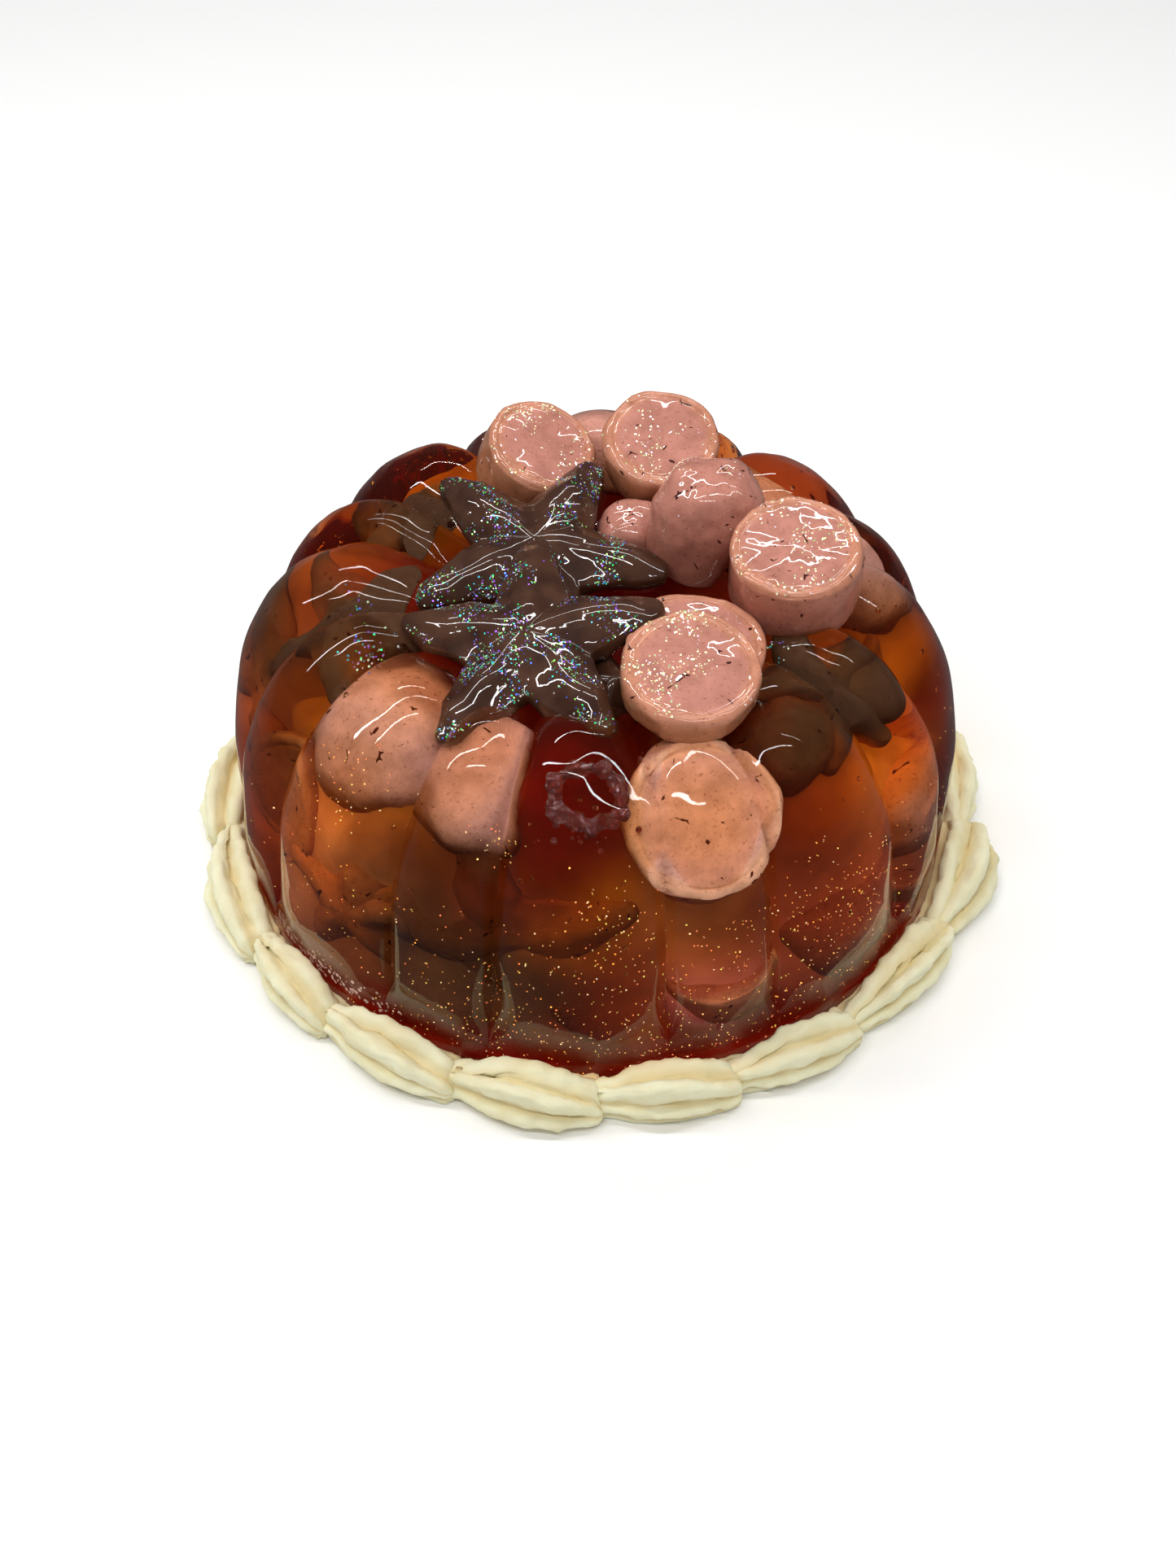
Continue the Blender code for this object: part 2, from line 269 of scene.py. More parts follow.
def make_stage():
    """A plain pale floor, a white surround and narrow lamps in a square above."""
    deselect()
    bpy.ops.mesh.primitive_plane_add(size=6.0, location=(0, 0, -0.00015))
    floor = bpy.context.object
    floor.name = "floor"
    paint = bpy.data.materials.new("floor_paint")
    paint.use_nodes = True
    tree = paint.node_tree
    shader = tree.nodes["Principled BSDF"]
    shader.inputs["Roughness"].default_value = 0.9
    shader.inputs["Specular IOR Level"].default_value = 0.0
    colour = dimmed_in_reflections(tree, FLOOR_COLOUR, FLOOR_IN_REFLECTIONS)
    tree.links.new(colour, shader.inputs["Base Color"])
    floor.data.materials.append(paint)
    world = bpy.data.worlds.new("surround")
    world.use_nodes = True
    tree = world.node_tree
    background = tree.nodes["Background"]
    background.inputs["Strength"].default_value = 0.36
    colour = dimmed_in_reflections(tree, (1, 1, 1), SURROUND_IN_REFLECTIONS)
    tree.links.new(colour, background.inputs["Color"])
    bpy.context.scene.world = world
    for name, x, y, width, depth, watts in LAMPS:
        make_lamp(name, (x, y, LAMP_HEIGHT), (0, 0, 30), width, depth, watts)
    bpy.context.scene.view_settings.view_transform = "Standard"
    bpy.context.scene.view_settings.look = "None"


# Materials
def new_material(name):
    """A material with its node tree and its Principled shader."""
    material = bpy.data.materials.new(name)
    material.use_nodes = True
    tree = material.node_tree
    return material, tree, tree.nodes["Principled BSDF"]


def object_coordinates(tree):
    """The piece's own coordinates, in metres."""
    return tree.nodes.new("ShaderNodeTexCoord").outputs["Object"]


def add_bump(tree, source, height_socket, strength, distance, target):
    """Feeds a height into a bump on one of the shader's normals."""
    bump = tree.nodes.new("ShaderNodeBump")
    bump.inputs["Strength"].default_value = strength
    bump.inputs["Distance"].default_value = distance * MM
    tree.links.new(source.outputs[height_socket], bump.inputs["Height"])
    tree.links.new(bump.outputs["Normal"], target)
    return bump


def add_noise(tree, coordinates, size, detail=3.0, roughness=0.5):
    """Noise whose features have a size in millimetres."""
    texture = tree.nodes.new("ShaderNodeTexNoise")
    texture.inputs["Scale"].default_value = 1 / (size * MM)
    texture.inputs["Detail"].default_value = detail
    texture.inputs["Roughness"].default_value = roughness
    tree.links.new(coordinates, texture.inputs["Vector"])
    return texture


def resin_material():
    """Clear cast resin that turns from amber to deep red with depth."""
    material, tree, shader = new_material("clear_resin")
    shader.inputs["Base Color"].default_value = (1.0, 0.95, 0.9, 1)
    shader.inputs["Roughness"].default_value = 0.03
    shader.inputs["IOR"].default_value = 1.38
    shader.inputs["Transmission Weight"].default_value = 1.0
    coordinates = object_coordinates(tree)
    wrinkles = add_noise(tree, coordinates, 5.0, 2.0, 0.5)
    add_bump(tree, wrinkles, "Fac", 0.08, 0.5, shader.inputs["Normal"])
    absorb = tree.nodes.new("ShaderNodeVolumeAbsorption")
    absorb.inputs["Color"].default_value = (0.92, 0.69, 0.20, 1)
    absorb.inputs["Density"].default_value = 140.0
    path = tree.nodes.new("ShaderNodeLightPath")
    passing = tree.nodes.new("ShaderNodeBsdfTransparent")
    passing.inputs["Color"].default_value = (0.95, 0.92, 0.88, 1)
    mix = tree.nodes.new("ShaderNodeMixShader")
    output = tree.nodes["Material Output"]
    tree.links.new(path.outputs["Is Shadow Ray"], mix.inputs["Fac"])
    cloud = tree.nodes.new("ShaderNodeBsdfDiffuse")
    cloud.inputs["Color"].default_value = (0.45, 0.085, 0.02, 1)
    clouded = tree.nodes.new("ShaderNodeMixShader")
    clouded.inputs["Fac"].default_value = 0.026
    tree.links.new(shader.outputs["BSDF"], clouded.inputs[1])
    tree.links.new(cloud.outputs["BSDF"], clouded.inputs[2])
    tree.links.new(clouded.outputs["Shader"], mix.inputs[1])
    tree.links.new(passing.outputs["BSDF"], mix.inputs[2])
    tree.links.new(mix.outputs["Shader"], output.inputs["Surface"])
    tree.links.new(absorb.outputs["Volume"], output.inputs["Volume"])
    return material


def painted_glow_material():
    """Thick cloudy resin with a painted glow: it emits its own colour in place of the light that it
    scatters.
    """
    material, tree, shader = new_material("cloudy_resin_painted_glow")
    paint = tree.nodes.new("ShaderNodeVertexColor")
    paint.layer_name = "glow"
    tone = add_noise(tree, object_coordinates(tree), 9.0, 3.0)
    shade = mixed_colour(tree, tone.outputs["Fac"], (0.55, 0.5, 0.45), (1, 1, 1))
    colour = multiply(tree, paint.outputs["Color"], shade)
    tree.links.new(colour, shader.inputs["Base Color"])
    # Painted glow: the resin emits its own colour, in place of the light that it would scatter.
    tree.links.new(colour, shader.inputs["Emission Color"])
    shader.inputs["Emission Strength"].default_value = 0.45
    shader.inputs["Roughness"].default_value = 0.7
    shader.inputs["Specular IOR Level"].default_value = 0.0
    return material


def clay_material(name, make_colour, coated):
    """Modelling clay, under a smooth thick glossy coat or bare where it is sunk in the resin."""
    material, tree, shader = new_material(name)
    coordinates = object_coordinates(tree)
    tree.links.new(make_colour(tree, coordinates), shader.inputs["Base Color"])
    shader.inputs["Roughness"].default_value = 0.55
    shader.inputs["Specular IOR Level"].default_value = 0.12 if coated else 0.02
    grain = add_noise(tree, coordinates, 0.35, 4.0, 0.65)
    add_bump(tree, grain, "Fac", 0.35, 0.12, shader.inputs["Normal"])
    if coated:
        shader.inputs["Coat Weight"].default_value = 1.0
        shader.inputs["Coat Roughness"].default_value = 0.035
        shader.inputs["Coat IOR"].default_value = 1.5
        lumps = add_noise(tree, coordinates, 3.8, 1.0)
        add_bump(tree, lumps, "Fac", 0.16, 0.5, shader.inputs["Coat Normal"])
    return material


def mixed_colour(tree, factor, low, high, start=0.35, end=0.65):
    """A colour that goes from low to high with a factor."""
    ramp = tree.nodes.new("ShaderNodeValToRGB")
    ramp.color_ramp.elements[0].position = start
    ramp.color_ramp.elements[0].color = (*low, 1)
    ramp.color_ramp.elements[1].position = end
    ramp.color_ramp.elements[1].color = (*high, 1)
    tree.links.new(factor, ramp.inputs["Fac"])
    return ramp.outputs["Color"]


def multiply(tree, first, second, amount=1.0):
    """Two colours multiplied."""
    mix = tree.nodes.new("ShaderNodeMix")
    mix.data_type = "RGBA"
    mix.blend_type = "MULTIPLY"
    mix.inputs["Factor"].default_value = amount
    tree.links.new(first, mix.inputs["A"])
    tree.links.new(second, mix.inputs["B"])
    return mix.outputs["Result"]


def painted_colour(attribute):
    """A colour painted on the points, broken up by blotches and fine specks."""
    def build(tree, coordinates):
        paint = tree.nodes.new("ShaderNodeVertexColor")
        paint.layer_name = attribute
        blotches = add_noise(tree, coordinates, 3.0, 4.0, 0.6)
        shade = mixed_colour(tree, blotches.outputs["Fac"], (0.82, 0.76, 0.72), (1.08, 1.04, 1.02))
        specks = add_noise(tree, coordinates, 0.5, 3.0, 0.7)
        fleck = mixed_colour(tree, specks.outputs["Fac"], (0.62, 0.5, 0.47), (1, 1, 1), 0.3, 0.42)
        colour = multiply(tree, multiply(tree, paint.outputs["Color"], shade), fleck)
        return multiply(tree, colour, crack_lines(tree, coordinates))
    return build


def crack_lines(tree, coordinates):
    """Short dark cracks: thin cell borders, kept only in patches."""
    cells = tree.nodes.new("ShaderNodeTexVoronoi")
    cells.feature = "DISTANCE_TO_EDGE"
    cells.inputs["Scale"].default_value = 1 / (3.4 * MM)
    tree.links.new(coordinates, cells.inputs["Vector"])
    patches = add_noise(tree, coordinates, 1.9, 2.0)
    width = tree.nodes.new("ShaderNodeMapRange")
    width.inputs["From Min"].default_value = 0.60
    width.inputs["From Max"].default_value = 0.72
    width.inputs["To Min"].default_value = -0.02
    width.inputs["To Max"].default_value = 0.045
    tree.links.new(patches.outputs["Fac"], width.inputs["Value"])
    beyond = tree.nodes.new("ShaderNodeMath")
    beyond.operation = "SUBTRACT"
    tree.links.new(cells.outputs["Distance"], beyond.inputs[0])
    tree.links.new(width.outputs["Result"], beyond.inputs[1])
    return mixed_colour(tree, beyond.outputs["Value"], (0.12, 0.05, 0.04), (1, 1, 1), 0.0, 0.012)


def chocolate_colour(tree, coordinates):
    """Dark brown with slightly milky patches."""
    patches = add_noise(tree, coordinates, 4.0, 3.0)
    return mixed_colour(tree, patches.outputs["Fac"], (0.034, 0.0110, 0.005), (0.072, 0.027, 0.013))


def cream_material():
    """Dry ivory paste with fine pores and painted shade in the hollows."""
    material, tree, shader = new_material("piped_cream")
    coordinates = object_coordinates(tree)
    tone = add_noise(tree, coordinates, 5.0, 3.0)
    blotch = mixed_colour(tree, tone.outputs["Fac"], (0.93, 0.89, 0.80), (1, 1, 1), 0.3, 0.6)
    paint = tree.nodes.new("ShaderNodeVertexColor")
    paint.layer_name = "paste"
    tree.links.new(multiply(tree, paint.outputs["Color"], blotch), shader.inputs["Base Color"])
    shader.inputs["Roughness"].default_value = 0.82
    shader.inputs["Specular IOR Level"].default_value = 0.25
    shader.inputs["Subsurface Weight"].default_value = 0.15
    shader.inputs["Subsurface Radius"].default_value = (0.0012, 0.0010, 0.0006)
    grain = add_noise(tree, coordinates, 0.45, 5.0, 0.7)
    add_bump(tree, grain, "Fac", 0.5, 0.15, shader.inputs["Normal"])
    return material


def flake_material(name, glow):
    """Craft glitter: foil in the colour painted on each flake, which also emits that colour as a painted
    glint.
    """
    material, tree, shader = new_material(name)
    paint = tree.nodes.new("ShaderNodeVertexColor")
    paint.layer_name = "foil"
    tree.links.new(paint.outputs["Color"], shader.inputs["Base Color"])
    # Painted glint: each flake also emits its own colour.
    tree.links.new(paint.outputs["Color"], shader.inputs["Emission Color"])
    shader.inputs["Emission Strength"].default_value = glow
    shader.inputs["Metallic"].default_value = 0.85
    shader.inputs["Roughness"].default_value = 0.25
    return material


# Dome
def lobe_height(angle):
    """How far a lobe swells at an angle: 0 in a crease and 1 on a wide lobe's crest."""
    offset = (angle - NARROW_LOBE_ANGLE + PAIR_ANGLE / 2) % PAIR_ANGLE - PAIR_ANGLE / 2
    narrow = abs(offset) < NARROW_HALF
    across = abs(offset) / NARROW_HALF if narrow else (PAIR_ANGLE / 2 - abs(offset)) / WIDE_HALF
    swell = max(0.0, 1 - min(across, 1.0) ** LOBE_ROUNDING) ** LOBE_FULLNESS
    return NARROW_REACH * swell if narrow else swell


# Steps across a wide and a narrow lobe and up the wall; all are even, as the drum has half as many
DOME_WIDE_STEPS = 36
DOME_NARROW_STEPS = 22
DOME_RINGS = 196
FOOT_INSET = 0.4
CREST_LINE = smooth_curve(CREST, DOME_RINGS)
CREASE_LINE = smooth_curve(CREASE, DOME_RINGS)


def lobe_angles():
    """Angles round the dome, with one on every crease and closer ones beside it."""
    angles = []
    for pair in range(LOBE_PAIRS):
        middle = NARROW_LOBE_ANGLE + pair * PAIR_ANGLE
        for centre, half, steps in ((middle, NARROW_HALF, DOME_NARROW_STEPS),
                                    (middle + PAIR_ANGLE / 2, WIDE_HALF, DOME_WIDE_STEPS)):
            for step in range(steps):
                angles.append(centre - half * math.cos(math.pi * step / steps))
    return angles


def dome_point(angle, ring_place):
    """A point on the dome at an angle, and a place from 0 at the foot to 1 at the middle."""
    index = ring_place * DOME_RINGS
    low_index = min(int(index), DOME_RINGS - 1)
    t = index - low_index
    high = CREST_LINE[low_index].lerp(CREST_LINE[low_index + 1], t)
    low = CREASE_LINE[low_index].lerp(CREASE_LINE[low_index + 1], t)
    place = low.lerp(high, lobe_height(angle))
    return ground_vector(angle, place.x, place.y)


def make_jelly(material):
    """The dome: a drum of extruded rings, halved once evenly and drawn into lobes and creases."""
    angles = lobe_angles()
    sides = len(angles)
    piece = blank_drum("jelly_resin", sides // 2, DOME_RINGS // 2 + 1)
    shape = start_edit(piece)
    bmesh.ops.subdivide_edges(shape, edges=shape.edges, cuts=1, use_grid_fill=True)
    bmesh.update_edit_mesh(piece.data)
    deselect()

    def flute(point):
        reach = math.hypot(point.x, point.y) / DRUM_RADIUS
        if reach < DRUM_MIDDLE:
            return Vector((0, 0, CREST[-1][1]))
        side = round(math.atan2(point.y, point.x) / math.tau * sides) % sides
        ring = round(point.z * 2)
        place = dome_point(angles[side], ring / DOME_RINGS)
        halfway = reach < 0.7
        inward = 0.5 if halfway else 1.0
        return Vector((place.x * inward, place.y * inward, place.z))

    move_points(piece, flute)
    shape = start_edit(piece)
    for face in shape.faces:
        face.select_set(face.normal.z < -0.99 and len(face.verts) > 8)
    bmesh.update_edit_mesh(piece.data)
    bpy.ops.mesh.inset(thickness=FOOT_INSET * MM)
    deselect()
    roughen(piece, 9.0, 0.35, 3, lambda p: min(1.0, max(0.0, p.z / 10)))
    roughen(piece, 3.4, 0.16, 5, lambda p: min(1.0, max(0.0, (p.z - 34) / 10)))
    raise_lumps(piece)
    return settle(piece, material, "jelly")


LUMPS_SPREAD_FROM = (0, 0, 18)
# Soft lumps of resin over the pieces that reach its surface: middle, width and height
LUMPS = (((7.9, -38.6, 39.8), 4.6, 3.4), ((19.0, -34.6, 39.8), 4.6, 3.4), ((9.0, -36.0, 43.5), 3.5, 1.6),
         ((17.5, -33.0, 43.5), 3.5, 1.6), ((14.0, -40.6, 41.0), 7.0, 0.8), ((24.4, -32.0, 46.2), 3.0, 1.4),
         ((-35.4, -6.4, 45.3), 3.4, 0.9), ((-29.8, 10.3, 47.6), 3.0, 0.9), ((30.1, -18.5, 45.1), 3.6, 0.8),
         ((-21.9, -27.2, 48.1), 4.5, 0.8), ((-27.5, -31.9, 44.6), 4.0, 0.6), ((-13.3, -36, 46.4), 3.6, 0.7),
         ((-3.0, -38.0, 47.4), 2.2, 0.7), ((4.0, -42.0, 44.4), 1.8, 0.5), ((37.0, -12.0, 43.5), 3.4, 0.7),
         ((-14.0, -24.0, 45.0), 2.4, 0.9), ((30.0, 14.0, 46.0), 3.2, 0.8))


def raise_lumps(piece):
    """Swells the surface round each lump's middle, away from a point low in the dome."""
    high = [point for point in piece.data.vertices if point.co.z > 30 * MM]
    for middle, width, height in LUMPS:
        outward = (Vector(middle) - Vector(LUMPS_SPREAD_FROM)).normalized()
        for point in high:
            apart = (point.co / MM - Vector(middle)).length / width
            if apart < 2.5:
                point.co += outward * height * math.exp(-apart * apart) * MM
    piece.data.update()


# The wall's outline at each heading asked for, a fifth of a degree apart, with every seventh ring
WALLS = {}
HEADINGS_A_DEGREE = 5
WALL_STRIDE = 7
# Nearer the middle and lower than this, a point is inside the dome for certain
DEEP_RADIUS = 24.0
DEEP_HEIGHT = 42.0


def wall_depth(point):
    """How deep a point lies under the dome's wall, and the wall's nearest place and outward side."""
    radius = math.hypot(point.x, point.y)
    heading = round(math.degrees(math.atan2(point.x, -point.y)) * HEADINGS_A_DEGREE) / HEADINGS_A_DEGREE
    if heading not in WALLS:
        swell = lobe_height(heading)
        WALLS[heading] = [low.lerp(high, swell) for low, high in zip(CREASE_LINE[::WALL_STRIDE],
                                                                     CREST_LINE[::WALL_STRIDE])]
    wall = WALLS[heading]
    here = Vector((radius, point.z))
    nearest, facing, least = None, None, 1e9
    for start, end in zip(wall, wall[1:]):
        run = end - start
        t = min(1.0, max(0.0, (here - start).dot(run) / run.length_squared))
        spot = start + run * t
        apart = (here - spot).length_squared
        if apart < least:
            nearest, facing, least = spot, Vector((run.y, -run.x)).normalized(), apart
    return (nearest - here).dot(facing), nearest, facing


def inside_dome(point, margin):
    """The point itself, or where the mould's wall would press it to, a margin inside the surface."""
    radius = math.hypot(point.x, point.y)
    if radius < DEEP_RADIUS and point.z < DEEP_HEIGHT - margin:
        return point
    depth, nearest, facing = wall_depth(point)
    if depth >= margin:
        return point
    pressed = nearest - facing * margin
    keep = pressed.x / max(radius, 1e-6)
    return Vector((point.x * keep, point.y * keep, pressed.y))


# Piped border
SHELL_SIDES = 96
SHELL_RINGS = 34
SHELL_RIDGES = 6
RIDGE_DEPTH = 0.44
SHELL_SWELL = ((0.0, 0.30), (0.08, 0.42), (0.20, 0.60), (0.36, 0.86), (0.50, 1.0), (0.62, 1.0),
               (0.74, 0.90), (0.84, 0.74), (0.92, 0.58), (0.97, 0.44), (1.0, 0.14))
SHELL_SPINE_HEIGHT = 2.6
# The angle over the ground, seen along a shell, where its sides are made narrowest
SHELL_SEEN_ANGLE = 60
# How far a shell runs under the last one and over the next, in degrees round the dome
TAIL_UNDER = 2.6
HEAD_OVER = 1.6
IVORY = (0.83, 0.81, 0.57)
# The colour of the painted shade laid in the grooves between the ridges
GROOVE_SHADE = (0.72, 0.60, 0.31)


def shell_frame(node):
    """A shell's first and last angle, reach and height, read from its node."""
    points = [node.matrix_world @ v.co / MM for v in node.data.vertices]
    middle = sum(points, Vector()) / len(points)
    heading = math.degrees(math.atan2(middle.x, -middle.y))
    offsets = []
    for p in points:
        offset = math.degrees(math.atan2(p.x, -p.y)) - heading
        offsets.append((offset + 180) % 360 - 180)
    reach = max(math.hypot(p.x, p.y) for p in points)
    return heading + min(offsets), heading + max(offsets), reach, max(p.z for p in points)


def make_shell(blank, node_name, number, material):
    """One piped shell: full at its middle, drawn in at both ends, with lengthwise ridges."""
    start, end, reach, top = shell_frame(bpy.data.objects[node_name])
    draw = random.Random(100 + number)
    start -= TAIL_UNDER
    end += HEAD_OVER
    piece = copy_of(blank, "cream_%02d" % number)
    twist = draw.uniform(0.2, 0.9)
    phase = draw.uniform(-0.45, 0.45)
    to_wall = SHELL_SPINE_RADIUS - COLLAR_RADIUS + 0.15
    seen_middle = math.radians(SHELL_SEEN_ANGLE)
    ridges = []

    def pipe(point):
        along = round(point.z) / SHELL_RINGS
        closing = math.hypot(point.x, point.y) / DRUM_RADIUS
        around = math.atan2(point.y, point.x) if closing > DRUM_MIDDLE else math.pi / 2
        apart = (around - seen_middle + math.pi) % math.tau - math.pi
        turn = seen_middle + apart - 0.5 * math.sin(apart)
        body = value_along(SHELL_SWELL, along)
        across, upward = math.cos(turn), math.sin(turn)
        middle = SHELL_SPINE_HEIGHT * (0.5 + 0.5 * body)
        out = (reach - SHELL_SPINE_RADIUS + 0.5) * body if across > 0 else to_wall + 1.2
        tall = body ** 0.85 if along > 0.7 else body
        up = (top - SHELL_SPINE_HEIGHT + 0.6) * tall if upward > 0 else middle + 1.2
        length = 1 / math.hypot(across / out, upward / up)
        rounds = SHELL_RIDGES * turn / 2 + phase + twist * (along - 0.5)
        ridge = 0.45 * abs(math.cos(rounds)) + 0.55 * math.cos(rounds) ** 2
        depth = RIDGE_DEPTH * min(1.0, along * 3.2 + 0.15) * min(1.0, (1.0 - along) * 6.0 + 0.3)
        unlike = 0.75 + 0.5 * noise.noise(Vector((round(rounds / math.pi), number * 5.0, 0.5)))
        length *= 1 - depth * unlike * (1 - ridge)
        fray = noise.noise(Vector((across * 2.0 + number * 7.7, upward * 2.0, along * 7.0)))
        length *= 1 + 0.10 * fray
        if upward < -1e-6:
            length = min(length, middle / -upward)
        if across < -1e-6:
            crumb = noise.noise(Vector((number, along * 26, turn * 2)))
            length = min(length, (to_wall + 0.3 * crumb) / -across)
        length *= closing
        ridges.append(ridge)
        drift = 2.2 * (along - 0.6) * (1 if across > 0 else 0)
        radius = SHELL_SPINE_RADIUS + length * across + drift * closing
        height = max(middle + length * upward, 0.0)
        return ground_vector(start + (end - start) * along, radius, height)

    move_points(piece, pipe)
    layer = piece.data.color_attributes.new("paste", "FLOAT_COLOR", "POINT")
    # Painted shade: the grooves between the ridges are painted ochre and the crests ivory.
    for dab, ridge in zip(layer.data, ridges):
        dab.color = (*blend_colour(GROOVE_SHADE, IVORY, 0.15 + 1.3 * ridge), 1)
    roughen(piece, 2.6, 0.45, 40 + number, lambda p: min(1.0, p.z))
    roughen(piece, 1.1, 0.22, 20 + number, lambda p: min(1.0, p.z))
    roughen(piece, 0.5, 0.10, 60 + number, lambda p: min(1.0, p.z))
    move_points(piece, lambda p: (p.x, p.y, max(p.z, 0.0)))
    return settle(piece, material, node_name)


def make_border(material):
    """The ring of piped shells, each in place of its node."""
    blank = blank_drum("shell_blank", SHELL_SIDES, SHELL_RINGS + 1)
    for number in range(1, SHELL_COUNT + 1):
        make_shell(blank, "cream_shell_%02d" % number, number, material)
    bpy.data.objects.remove(blank)


# Stars
STAR_POINTS = 5
STAR_ROOT = 0.39
STAR_TIP = 0.12
STAR_SAMPLES = 16
STAR_SIDES = 150
STAR_PLACES = (0.90, 0.95, 0.98, 1.0, 1.0, 0.99, 0.975, 0.95, 0.92, 0.88, 0.83, 0.77, 0.70, 0.62, 0.54,
               0.45, 0.36, 0.27, 0.18, 0.09)
STAR_EDGE_HEIGHTS = (0.0, 0.03, 0.08, 0.16, 0.27, 0.38)
STAR_RIDGE_WIDTH = 2.3
STAR_POINTED_FROM = 0.62
STAR_HUB = 0.5


def star_outline(radius, angle_from_point):
    """Distance from the middle to a star's edge: each arm is a round-ended taper."""
    turn = math.radians(angle_from_point)
    root = radius * STAR_ROOT
    tip = radius * STAR_TIP
    length = radius - tip
    reach = root
    for step in range(STAR_SAMPLES + 1):
        along = length * step / STAR_SAMPLES
        width = root + (tip - root) * along / length
        inside = width ** 2 - (along * math.sin(turn)) ** 2
        if inside >= 0:
            reach = max(reach, along * math.cos(turn) + math.sqrt(inside))
    return reach


def make_star(blank, name, radius, thickness, seed):
    """A puffy moulded star with ridged arms and soft lumps, its underside at the origin."""
    piece = copy_of(blank, name)
    half = 180 / STAR_POINTS

    def mould(point):
        closing = math.hypot(point.x, point.y) > 0.1
        ring = min(len(STAR_PLACES) - 1, round(point.z))
        place = STAR_PLACES[ring] if closing else 0.0
        turn = math.atan2(point.y, point.x) if closing else 0.0
        from_point = abs((math.degrees(turn) - 90 + half) % (2 * half) - half)
        pointed = value_along(((0.0, 0.0), (STAR_POINTED_FROM, 1.0)), place)
        outline = star_outline(radius, from_point)
        reach = place * (outline * pointed + radius * STAR_HUB * (1 - pointed))
        off_axis = reach * math.sin(math.radians(from_point))
        ridge = math.exp(-(off_axis / STAR_RIDGE_WIDTH) ** 2)
        puff = (1 - place ** 3.0) * (0.70 + 0.30 * ridge)
        droop = 1 - 0.16 * (reach / radius) ** 2
        height = thickness * (0.46 + 0.54 * puff) * droop
        if closing and ring < len(STAR_EDGE_HEIGHTS):
            height = thickness * STAR_EDGE_HEIGHTS[ring]
        return Vector((reach * math.cos(turn), reach * math.sin(turn), height))

    move_points(piece, mould)
    roughen(piece, 4.5, 0.9, seed)
    roughen(piece, 1.6, 0.16, seed + 9)
    return piece


# Sausage pieces
SAUSAGE_SIDES = 84
SAUSAGE_RINGS = 31
END_SQUASH = 0.92
END_SQUARENESS = 0.6
FACETS = {"sausage_end_upright_piece": ((0.83, -0.40, -0.39), 3.6)}
FLESH = (0.505, 0.220, 0.170)
RING = (0.55, 0.24, 0.15)
SKIN = (0.44, 0.165, 0.115)
GEL_SKIN = (0.43, 0.175, 0.085)
GEL_SIDED = ("sausage_slice_front_piece", "sausage_slice_back_left_piece", "sausage_slice_back_right_piece")


def paint_points(piece, name, rule):
    """Paints every point of a piece by a rule from its place in millimetres."""
    layer = piece.data.color_attributes.new(name, "FLOAT_COLOR", "POINT")
    for point, dab in zip(piece.data.vertices, layer.data):
        dab.color = (*rule(point.co / MM), 1)


def blend_colour(first, second, amount):
    """A colour between two."""
    t = min(1.0, max(0.0, amount))
    return tuple(a + (b - a) * t for a, b in zip(first, second))


def shave(piece, normal, distance):
    """Flattens what lies beyond a plane, given as its normal and its distance from the origin."""
    facing = Vector(normal).normalized()

    def rule(point):
        beyond = facing.dot(point) - distance
        return point - facing * beyond * 0.92 if beyond > 0 else point
    move_points(piece, rule)


def make_slice(blank, name, radius, thickness, seed):
    """A slice with soft edges, a groove inside its rim and slightly bulging sides."""
    r, top = radius, thickness
    stations = [(r - 1.3, 0), (r - 0.7, 0.02), (r - 0.25, 0.35), (r - 0.05, 0.9), (r, 0.45 * top),
                (r, top - 1.2), (r - 0.08, top - 0.65), (r - 0.28, top - 0.25), (r - 0.62, top - 0.04),
                (r - 1.0, top), (r - 1.3, top - 0.10), (r - 1.5, top - 0.11), (r - 1.8, top - 0.02),
                (r - 3.2, top), (r - 5.0, top + 0.04), (r - 6.8, top + 0.06)]
    piece = copy_of(blank, name)
    turn_profile(piece, smooth_curve(stations, SAUSAGE_RINGS - 1))
    skin = GEL_SKIN if name in GEL_SIDED else SKIN

    def tone(point):
        rim = blend_colour(skin, RING, (point.z - top + 1.6) / 1.2)
        reach = math.hypot(point.x, point.y)
        off_middle = noise.noise(Vector((point.x, point.y, seed * 9.0)) / 6.0) * 0.9
        inside = (radius - 1.5 + off_middle - reach) / 0.7
        return blend_colour(rim, FLESH, inside if point.z > top - 0.5 else 0.0)
    paint_points(piece, "clay", tone)
    roughen(piece, 5.0, 0.55, seed)
    roughen(piece, 1.3, 0.12, seed + 5)
    return piece


def make_end(blank, name, radius, thickness, seed):
    """A sausage end: a cylinder closed by a round dome."""
    r, top = radius, thickness
    stations = [(r - 0.8, 0), (r - 0.2, 0.3), (r, 0.9), (r, 0.22 * top), (r, 0.45 * top)]
    steps = SAUSAGE_RINGS - len(stations)
    for k in range(1, steps + 1):
        turn = math.pi / 2 * k / (steps + 1)
        stations.append((r * math.cos(turn) ** END_SQUARENESS, 0.45 * top + 0.55 * top * math.sin(turn)))
    piece = copy_of(blank, name)
    turn_profile(piece, stations)
    move_points(piece, lambda p: (p.x, p.y * END_SQUASH, p.z))
    if name in FACETS:
        shave(piece, *FACETS[name])
    paint_points(piece, "clay", lambda p: blend_colour(SKIN, FLESH, 0.25 + 0.9 * (p.z / top - 0.3)))
    roughen(piece, 5.0, 0.8, seed)
    roughen(piece, 1.3, 0.12, seed + 5)
    return piece


def place_by_leans(piece, centre, lean_back, lean_side, turn):
    """Turns a piece about its upright, leans it and sets its underside at a point, as in the CAD."""
    piece.data.transform(Matrix.Translation(Vector(centre) * MM)
                         @ Matrix.Rotation(math.radians(lean_side), 4, "Y")
                         @ Matrix.Rotation(math.radians(lean_back), 4, "X")
                         @ Matrix.Rotation(math.radians(turn), 4, "Z"))
    piece.data.update()


